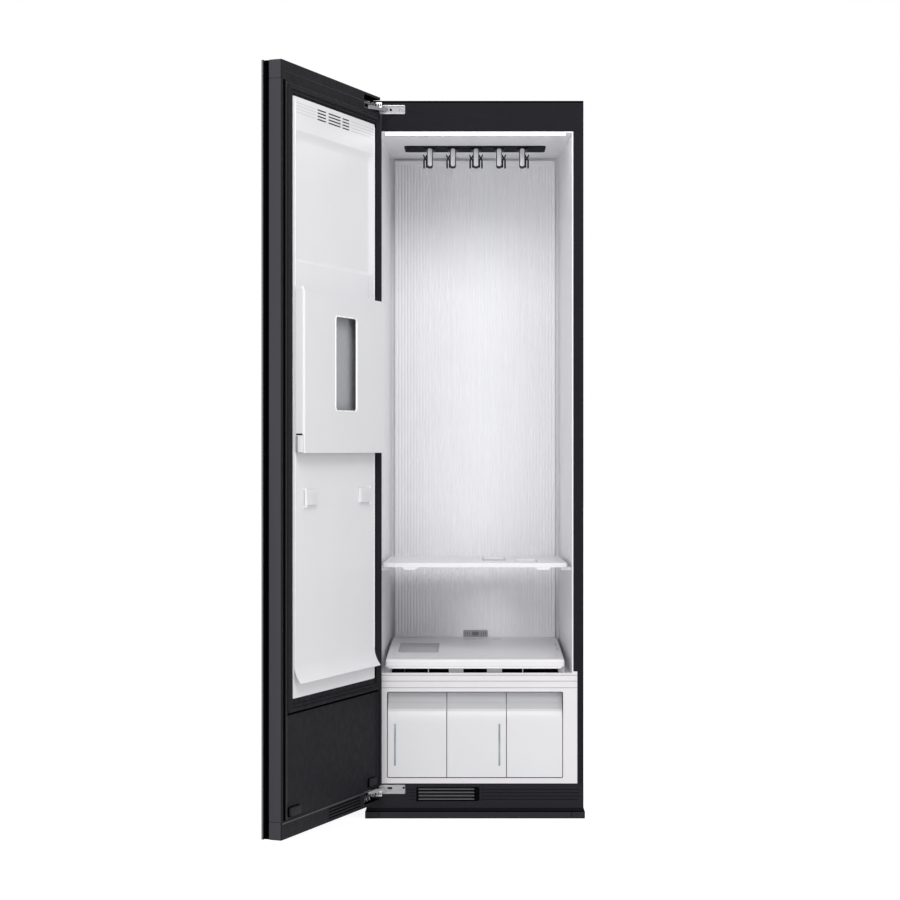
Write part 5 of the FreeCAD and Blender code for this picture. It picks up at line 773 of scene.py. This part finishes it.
# Painted shade: black discs and slots set into the hinge plates stand in for the shade inside their
# screw holes and slots.
piece("hinge_hole_shade", hole_shade, finish("painted hole shade", (0.002, 0.002, 0.002), 0.6, shine=0.02), "case",
      "hinge_steel")
for z, turn in zip(HINGE_Z, (1, -1)):
    block(arms, "x", (-40.5, -36), levels(z, -turn, 11.8, 15.4), (-288, -262), 1, 0.4)
    block(arms, "x", (-46.6, -42.6), levels(z, turn, 1.2, 4.4), (-279, -262), 1, 0.4)
    if turn > 0:
        for x in (-201, -216, -234):
            leg = [(x - 7, z - 12.6), (x - 2.6, z - 12.6), (x + 6, z - 2), (x + 2, z - 2)]
            straight(arms, "y", leg, (-17, -13))
            turned(arms, "y", (x - 0.3, z - 7.3), [(1.7, -49.4), (1.7, -12.2)], 12)
    for side in (-1, 1):
        block(pocket_shade, "z", (-294.5, -191.4), (-49.6, -8.4), levels(z, side, 17.3, 17.98), 0.5, 0.1)
    block(pocket_shade, "y", (-294.5, -191.4), (z - 17.6, z + 17.6), (-49.95, -49.2), 0.5, 0.1)
    block(pocket_shade, "x", (-49.6, -8.4), (z - 17.6, z + 17.6), (-191.9, -191.05), 0.5, 0.1)
piece("hinge_links", arms, chrome, "door", "hinge_steel", 0.2)
# Painted shade: black plates line the top, bottom, back and end of each hinge pocket, standing in for
# the shade inside it.
piece("hinge_pocket_shadow", pocket_shade, finish("painted pocket shade", (0.001, 0.001, 0.0012), 0.8, shine=0.0),
      "door", "charcoal_frame")


# -------- door: glass, carrier, frame
# Black back-painted glass bonded to a recessed black carrier. Behind it stands the charcoal
# frame: two stiles, a top cap and a bottom trim with a louvre, round a foam core.
glass = bmesh.new()
block(glass, "y", (-297.7, 297.7), (52, 1960), (-60, -55), 2.2, 0.9)
piece("front_glass", glass, finish("black backed glass", (0.0035, 0.0035, 0.004), 0.06, mix=0.1,
                                   spread=0.015, shine=0.2, grain_depth=0.0005), "door", "black_glass",
      stands_for=("door_glass",), smooth=10)
ground_edge = bmesh.new()
for x in ((-298, -297.4), (297.4, 298)):
    block(ground_edge, "x", (-59.6, -55.3), (54, 1958), x, 0.4, 0.1)
piece("glass_ground_edges", ground_edge, finish("ground glass edge", (0.1, 0.1, 0.105), 0.5, mix=0.3),
      "door", "black_glass")
# The carrier is black; the same near-black is also painted shade round the bumpers and at the press
# cover's notch.
carrier_and_shade_black = finish("carrier and shade black", (0.0012, 0.0012, 0.0014), 0.8, shine=0.0)
dress("glass_carrier", carrier_and_shade_black, 0.4)
bond = bmesh.new()
for z in ((52.8, 62), (1950, 1959.2)):
    block(bond, "z", (-291.4, 291.4), (-55, -42.05), z, 0.6, 0.3)
piece("glass_bond_ends", bond, carrier_and_shade_black, "door", "black_glass")
anodised = finish("charcoal anodised", (0.040, 0.039, 0.0445), 0.44, mix=0.25, metal=0.1, shine=0.1,
                  stretch=(1, 1, 0.06), grain=1400, scuff=0.05)
dress("door_frame", charcoal, 0.7)
dress("door_core", finish("door foam", (0.74, 0.7, 0.52), 0.85, mottle=30, grain=420))
dress("door_lower_panel", finish("smooth charcoal", (0.0125, 0.0120, 0.0148), 0.5, mix=0.12, shine=0.04,
                                 grain=1500), 0.2)


def across(start, stop):
    """Span across the shut door, measured from its hinge edge."""
    return start - CASE_X, stop - CASE_X


edge = bmesh.new()
block(edge, "x", (-41.6, -9.5), (96.5, 1913.5), across(587.2, 588.5), 1, 0.35)
for z in ((52.4, 95.6), (1914.4, 1959.6)):
    block(edge, "x", (-41.6, -10), z, across(587.2, 588.7), 2.6, 0.4)
piece("door_edge_strip", edge, anodised, "door", "charcoal_frame")
beads = bmesh.new()
block(beads, "z", across(559.2, 563.6), (-8.6, -6.6), (97, 1909), 0.9, 0.5)
block(beads, "z", across(0.8, 6.4), (-8.6, -3.4), (98, 1913), 2.2, 0.8)
block(beads, "x", (-8.6, -7.2), (1906.4, 1908.6), across(12, 559), 0.7, 0.4)
block(beads, "x", (-8.5, -7.5), (1933.4, 1934.8), across(112, 586), 0.5, 0.4)
piece("door_beads", beads, finish("bead charcoal", (0.024, 0.0235, 0.0275), 0.4, metal=0.3, mix=0.2,
                                  shine=0.1), "door", "charcoal_frame")
# Painted highlight: the bead over the bottom trim is coloured far lighter than the frame to show the
# bright line along its edge.
trim_highlight = bmesh.new()
block(trim_highlight, "x", (-9.2, -7.2), (90.2, 93.6), across(28, 583), 0.9, 0.5)
piece("trim_highlight_bead", trim_highlight, finish("painted trim highlight charcoal", (0.055, 0.054, 0.060), 0.4, metal=0.3,
                                    mix=0.2, shine=0.2), "door", "charcoal_frame")
LOUVRE_Z = (61.5, 69.5, 77.5, 85.5)
trim = bmesh.new()
for z in LOUVRE_Z:
    block(trim, "x", (-12.8, -7.75), (z - 1.7, z + 1.7), across(130, 322), 0.8, 0.1)
block(trim, "z", across(567.5, 578.5), (-8.4, -7.75), (97, 1913), 0.3, 0.1)
block(trim, "x", (-8.4, -7.7), (353.2, 358.2), across(16, 559), 0.3, 0.1)
block(trim, "z", across(35.4, 47), (-8.4, -5.8), (393, 1879), 0.6, 0.2)
piece("trim_louvre_shade", trim, finish("louvre shade", (0.0012, 0.0012, 0.0014), 0.8, shine=0.0),
      "door", "charcoal_frame")


# -------- door seal and bumpers
# One soft black rubber gasket with two hollow lobes, pushed into the border, and two rubber
# bumpers low on the door.
def lobe(centre, half, base, rise, count=9):
    """Rounded hump of a seal's section."""
    return [(centre - half * cos(pi * j / (count - 1)), base + rise * sin(pi * j / (count - 1)))
            for j in range(count)]


section = ([(0.6, -8), (0.7, -6.4)] + lobe(6.4, 5.6, -6.2, 5.6, 11) + [(12.4, -3.2), (12.9, -3.2)]
           + lobe(15.9, 2.9, -4.2, 1.8, 7) + [(19.0, -6.0), (19.6, -8)])
gasket = bmesh.new()
lofted(gasket, ring("y", across(16, 556), (358, 1904), 9, section), shut=False)
bumpers = bmesh.new()
feet = bmesh.new()
for u in ((40, 80), (492, 550)):
    block(bumpers, "y", across(*u), (104.5, 125.5), (-7.0, -0.4), 5, 2.4)
    block(feet, "y", across(u[0] - 1.5, u[1] + 2), (102.6, 127.2), (-9, -5.6), 5, 0.6)
piece("bumper_pads", bumpers, finish("bumper rubber", (0.020, 0.0197, 0.0225), 0.6, mix=0.4,
                                     shine=0.06), "door", "rubber_black", smooth=50)
# Painted shade: the black rims under the bumper pads stand in for the shade round their sides.
piece("bumper_shadow_rims", feet, carrier_and_shade_black, "door", "rubber_black")
piece("gasket", gasket, rubber, "door", "rubber_black", stands_for=("door_seals",), smooth=50)


# -------- door liner
# White vacuum-formed panel: a base plate and a shield that stands in front of it, with
# breathing slots at the top, a wide shallow field and a drip edge that sweeps out at the foot.
door_white = moulded("door liner white", (0.722, 0.716, 0.735), mix=0.12)
VENT_U = ((209.0, 252.0), (261.0, 335.0), (347.0, 399.0))
VENT_Z = (1839.2, 1847.2, 1855.2, 1863.2)
FIELD_U, FIELD_Z = (60.0, 520.0), (1471.0, 1798.0)
panel = bmesh.new()
pierced(panel, "y", rounded(across(46, 530), (392, 1880), 4), (-10, -5),
        [rounded(across(FIELD_U[0] - 3, FIELD_U[1] + 3), (FIELD_Z[0] - 3, FIELD_Z[1] + 3), 14)])
piece("door_base_plate", panel, door_white, "door", "white_plastic", 1.0)

shield = bmesh.new()
field_x = across(*FIELD_U)
mouth = rounded(field_x, FIELD_Z, 14)
vents = [rounded(across(*u), (z, z + 3.6), 1.4, 3) for u in VENT_U for z in VENT_Z]
outline = rounded(across(50, 525.4), (422.7, 1873.4), 3)
pierced(shield, "y", outline, (-4.6, -2.5), [mouth] + vents)
dished = []
for part, deep in ((0, 0), (0.06, 0.35), (0.35, 3.0), (0.62, 4.8), (0.85, 5.8), (1, 6.0)):
    near, far, foot_in, head_in = 26 * part, 12 * part, 10 * part, 24 * part
    dished.append([(a, -2.5 - deep, b) for a, b in rounded(
        (field_x[0] + near, field_x[1] - far), (FIELD_Z[0] + foot_in, FIELD_Z[1] - head_in), 14)])
dish = bmesh.new()
lofted(dish, dished + [[(a, y - 0.8, b) for a, y, b in loop] for loop in dished[::-1]], shut=False)
lofted(dish, [dished[-1], [(a, y - 0.8, b) for a, y, b in dished[-1]]])
for height in range(423, 476, 3):
    bmesh.ops.bisect_plane(shield, geom=shield.verts[:] + shield.edges[:] + shield.faces[:],
                           plane_co=(0, 0, height), plane_no=(0, 0, 1))
SWEEP_R, SWEEP_TOP, SWEEP_Y = 67.6, 474, -5
for vert in shield.verts:
    run = SWEEP_TOP - vert.co.z
    if run > 0:
        turn = run / SWEEP_R
        reach = SWEEP_R - (vert.co.y - SWEEP_Y)
        vert.co.y = SWEEP_Y + SWEEP_R - reach * cos(turn)
        vert.co.z = SWEEP_TOP - reach * sin(turn)
piece("door_shield", shield, door_white, "door", "white_plastic", 0.5, stands_for=("door_liner",))
piece("door_field", dish, door_white, "door", "white_plastic", smooth=60)
shade = bmesh.new()
for u in VENT_U:
    block(shade, "y", across(u[0] - 3, u[1] + 3), (1837, 1869), (-4.9, -4.3), 1, 0.1)
piece("vent_shade", shade, finish("vent shade", (0.006, 0.006, 0.007), 0.8, shine=0.0), "door",
      "white_plastic")
ribs = bmesh.new()
for z in VENT_Z:
    for u in ((53, 199), (409, 521)):
        block(ribs, "x", (-2.7, -2.2), (z + 1, z + 2.8), across(*u), 0.2, 0.15)
block(ribs, "z", across(91.5, 93.5), (-2.7, -2.2), (1409, 1468), 0.2, 0.15)
# The ribs and the short double line are coloured grey as painted shade for the shade along their edges.
piece("door_liner_ribs", ribs, finish("painted rib shade grey", (0.55, 0.545, 0.565), 0.4, mix=0.15), "door",
      "white_plastic")
lines = bmesh.new()
for u in (51.2, 519.5):
    block(lines, "z", across(u, u + 4), (-4, -1.2), (476, 1871), 1.2, 0.8)
piece("door_liner_lines", lines, door_white, "door", "white_plastic")


# -------- trouser press
# White moulded board with a grey pad and a bar to hang trousers over, fixed to the door's liner.
# A hollow cover with a long window closes over it and turns on two pins at its outer edge.
dress("press_board", door_white, 0.6)
cover_white = moulded("press cover white", (0.69, 0.686, 0.704), 0.42, shine=0.2)
dress("press_cover", cover_white, 0.5)
rim = bmesh.new()
WINDOW_U, WINDOW_TALL, RIM = (223, 347), (1107, 1345), 3.6
lip = [(0, 24.2), (0.3, 25.2), (1.8, 26.0), (3.5, 25.2), (3.9, 23.0), (0.4, 23.4)]
lofted(rim, ring("y", across(WINDOW_U[0] - RIM, WINDOW_U[1] + RIM),
                 (WINDOW_TALL[0] - RIM, WINDOW_TALL[1] + RIM), 12, lip), shut=False)
# Painted highlight: the rim is coloured a brighter white than the cover to show the bright line round
# the window.
piece("press_window_rim", rim, finish("painted rim highlight white", (0.93, 0.925, 0.935), 0.3, mix=0.05),
      "press_cover", "white_plastic", smooth=60)
bracket = bmesh.new()
block(bracket, "x", (0.2, 6.6), (999.5, 1040.2), across(526.6, 527.5), 1.5, 0.3)
for y in (1.6, 3.4, 5.2):
    block(bracket, "x", (y - 0.5, y + 0.5), (1003, 1037), across(527.2, 527.9), 0.4, 0.2)
piece("press_bearing_cover", bracket, finish("bearing grey", (0.30, 0.30, 0.31), 0.4, mix=0.3), "door",
      "white_plastic")
# Painted shadow: a black strip on the side of the cover stands in for the shade at the upper end of the
# notch by the bearing.
notch_shadow = bmesh.new()
block(notch_shadow, "x", (1.5, 19), (1042.3, 1046), across(526.7, 527.3), 0.8, 0.2)
piece("press_notch_shadow", notch_shadow, carrier_and_shade_black, "press_cover", "white_plastic")
pad = bmesh.new()
block(pad, "y", across(78, 484), (1016, 1372), (1.0, 2.1), 10, 0.5)
piece("press_pad", pad, finish("press pad grey", (0.36, 0.37, 0.39), 0.8, mottle=60, grain=420,
                               grain_depth=0.25), "door", "white_plastic")


# -------- trouser clips
# Two white moulded clips low on the liner that grip the trouser legs. Each has a ribbed jaw and
# turns on a pin.
dress("trouser_clip_outer trouser_clip_inner", cover_white, 0.5)
for body, node, u0, u1 in (("clip_outer", "trouser_clip_outer", 414, 466),
                           ("clip_inner", "trouser_clip_inner", 101, 153)):
    jaw = bmesh.new()
    for z in range(872, 902, 5):
        block(jaw, "x", (5.2, 5.9), (z - 0.9, z + 0.9), across(u0 + 4, u1 - 14), 0.3, 0.25)
    piece(node + "_ribs", jaw, cover_white, body, "white_plastic")


# -------- studio
# A plain pale floor and white surroundings, with one soft box high over the front, one low at
# the front and one at each side.
plain = bmesh.new()
bmesh.ops.create_grid(plain, x_segments=1, y_segments=1, size=30)
ground = bpy.data.meshes.new("studio_floor")
plain.to_mesh(ground)
plain.free()
studio_floor = bpy.data.objects.new("studio_floor", ground)
scene.collection.objects.link(studio_floor)


def shown_only(nodes, links):
    """1 for rays from the camera and those it sees in metal or through glass, otherwise 0."""
    path = nodes.new("ShaderNodeLightPath")
    total = path.outputs["Is Camera Ray"]
    for kind in ("Is Glossy Ray", "Is Transmission Ray"):
        most = nodes.new("ShaderNodeMath")
        most.operation = "MAXIMUM"
        links.new(total, most.inputs[0])
        links.new(path.outputs[kind], most.inputs[1])
        total = most.outputs[0]
    return total


pale = bpy.data.materials.new("pale floor")
pale.use_nodes = True
nodes, links = pale.node_tree.nodes, pale.node_tree.links
matt = nodes["Principled BSDF"]
matt.inputs["Base Color"].default_value = (0.82, 0.82, 0.82, 1)
matt.inputs["Roughness"].default_value = 0.9
matt.inputs["Specular IOR Level"].default_value = 0.0
lift = nodes.new("ShaderNodeMath")
lift.operation = "MULTIPLY"
lift.inputs[1].default_value = 0.66
links.new(shown_only(nodes, links), lift.inputs[0])
bright = nodes.new("ShaderNodeEmission")
links.new(lift.outputs[0], bright.inputs["Strength"])
both = nodes.new("ShaderNodeAddShader")
links.new(matt.outputs[0], both.inputs[0])
links.new(bright.outputs[0], both.inputs[1])
links.new(both.outputs[0], nodes["Material Output"].inputs["Surface"])
ground.materials.append(pale)

world = bpy.data.worlds.new("studio")
scene.world = world
world.use_nodes = True
nodes, links = world.node_tree.nodes, world.node_tree.links
backdrop = nodes["Background"]
backdrop.inputs["Color"].default_value = (1, 1, 1, 1)
level = nodes.new("ShaderNodeMapRange")
level.inputs["To Min"].default_value = 0.56
level.inputs["To Max"].default_value = 1.0
links.new(shown_only(nodes, links), level.inputs["Value"])
links.new(level.outputs["Result"], backdrop.inputs["Strength"])


def soft_box(name, place, aim, size, watts):
    """Rectangular area light that is turned to a point."""
    lamp = bpy.data.lights.new(name, "AREA")
    lamp.shape = "RECTANGLE"
    lamp.size, lamp.size_y = size
    lamp.energy = watts
    holder = bpy.data.objects.new(name, lamp)
    holder.location = place
    holder.rotation_euler = (Vector(aim) - Vector(place)).to_track_quat("-Z", "Y").to_euler()
    scene.collection.objects.link(holder)


soft_box("soft box over the front", (0.4, -3.0, 3.5), (0, 0.1, 0.7), (2.6, 1.4), 86)
soft_box("soft box at the front", (-1.5, -4.8, 0.9), (0, 0.2, 0.8), (1.6, 1.4), 42)
soft_box("soft box at the left", (-3.2, -2.4, 1.8), (-0.3, -0.4, 1.0), (1.6, 2.4), 18)
soft_box("soft box at the right", (3.2, -2.6, 1.3), (-0.2, -0.2, 0.7), (1.6, 2.2), 20)
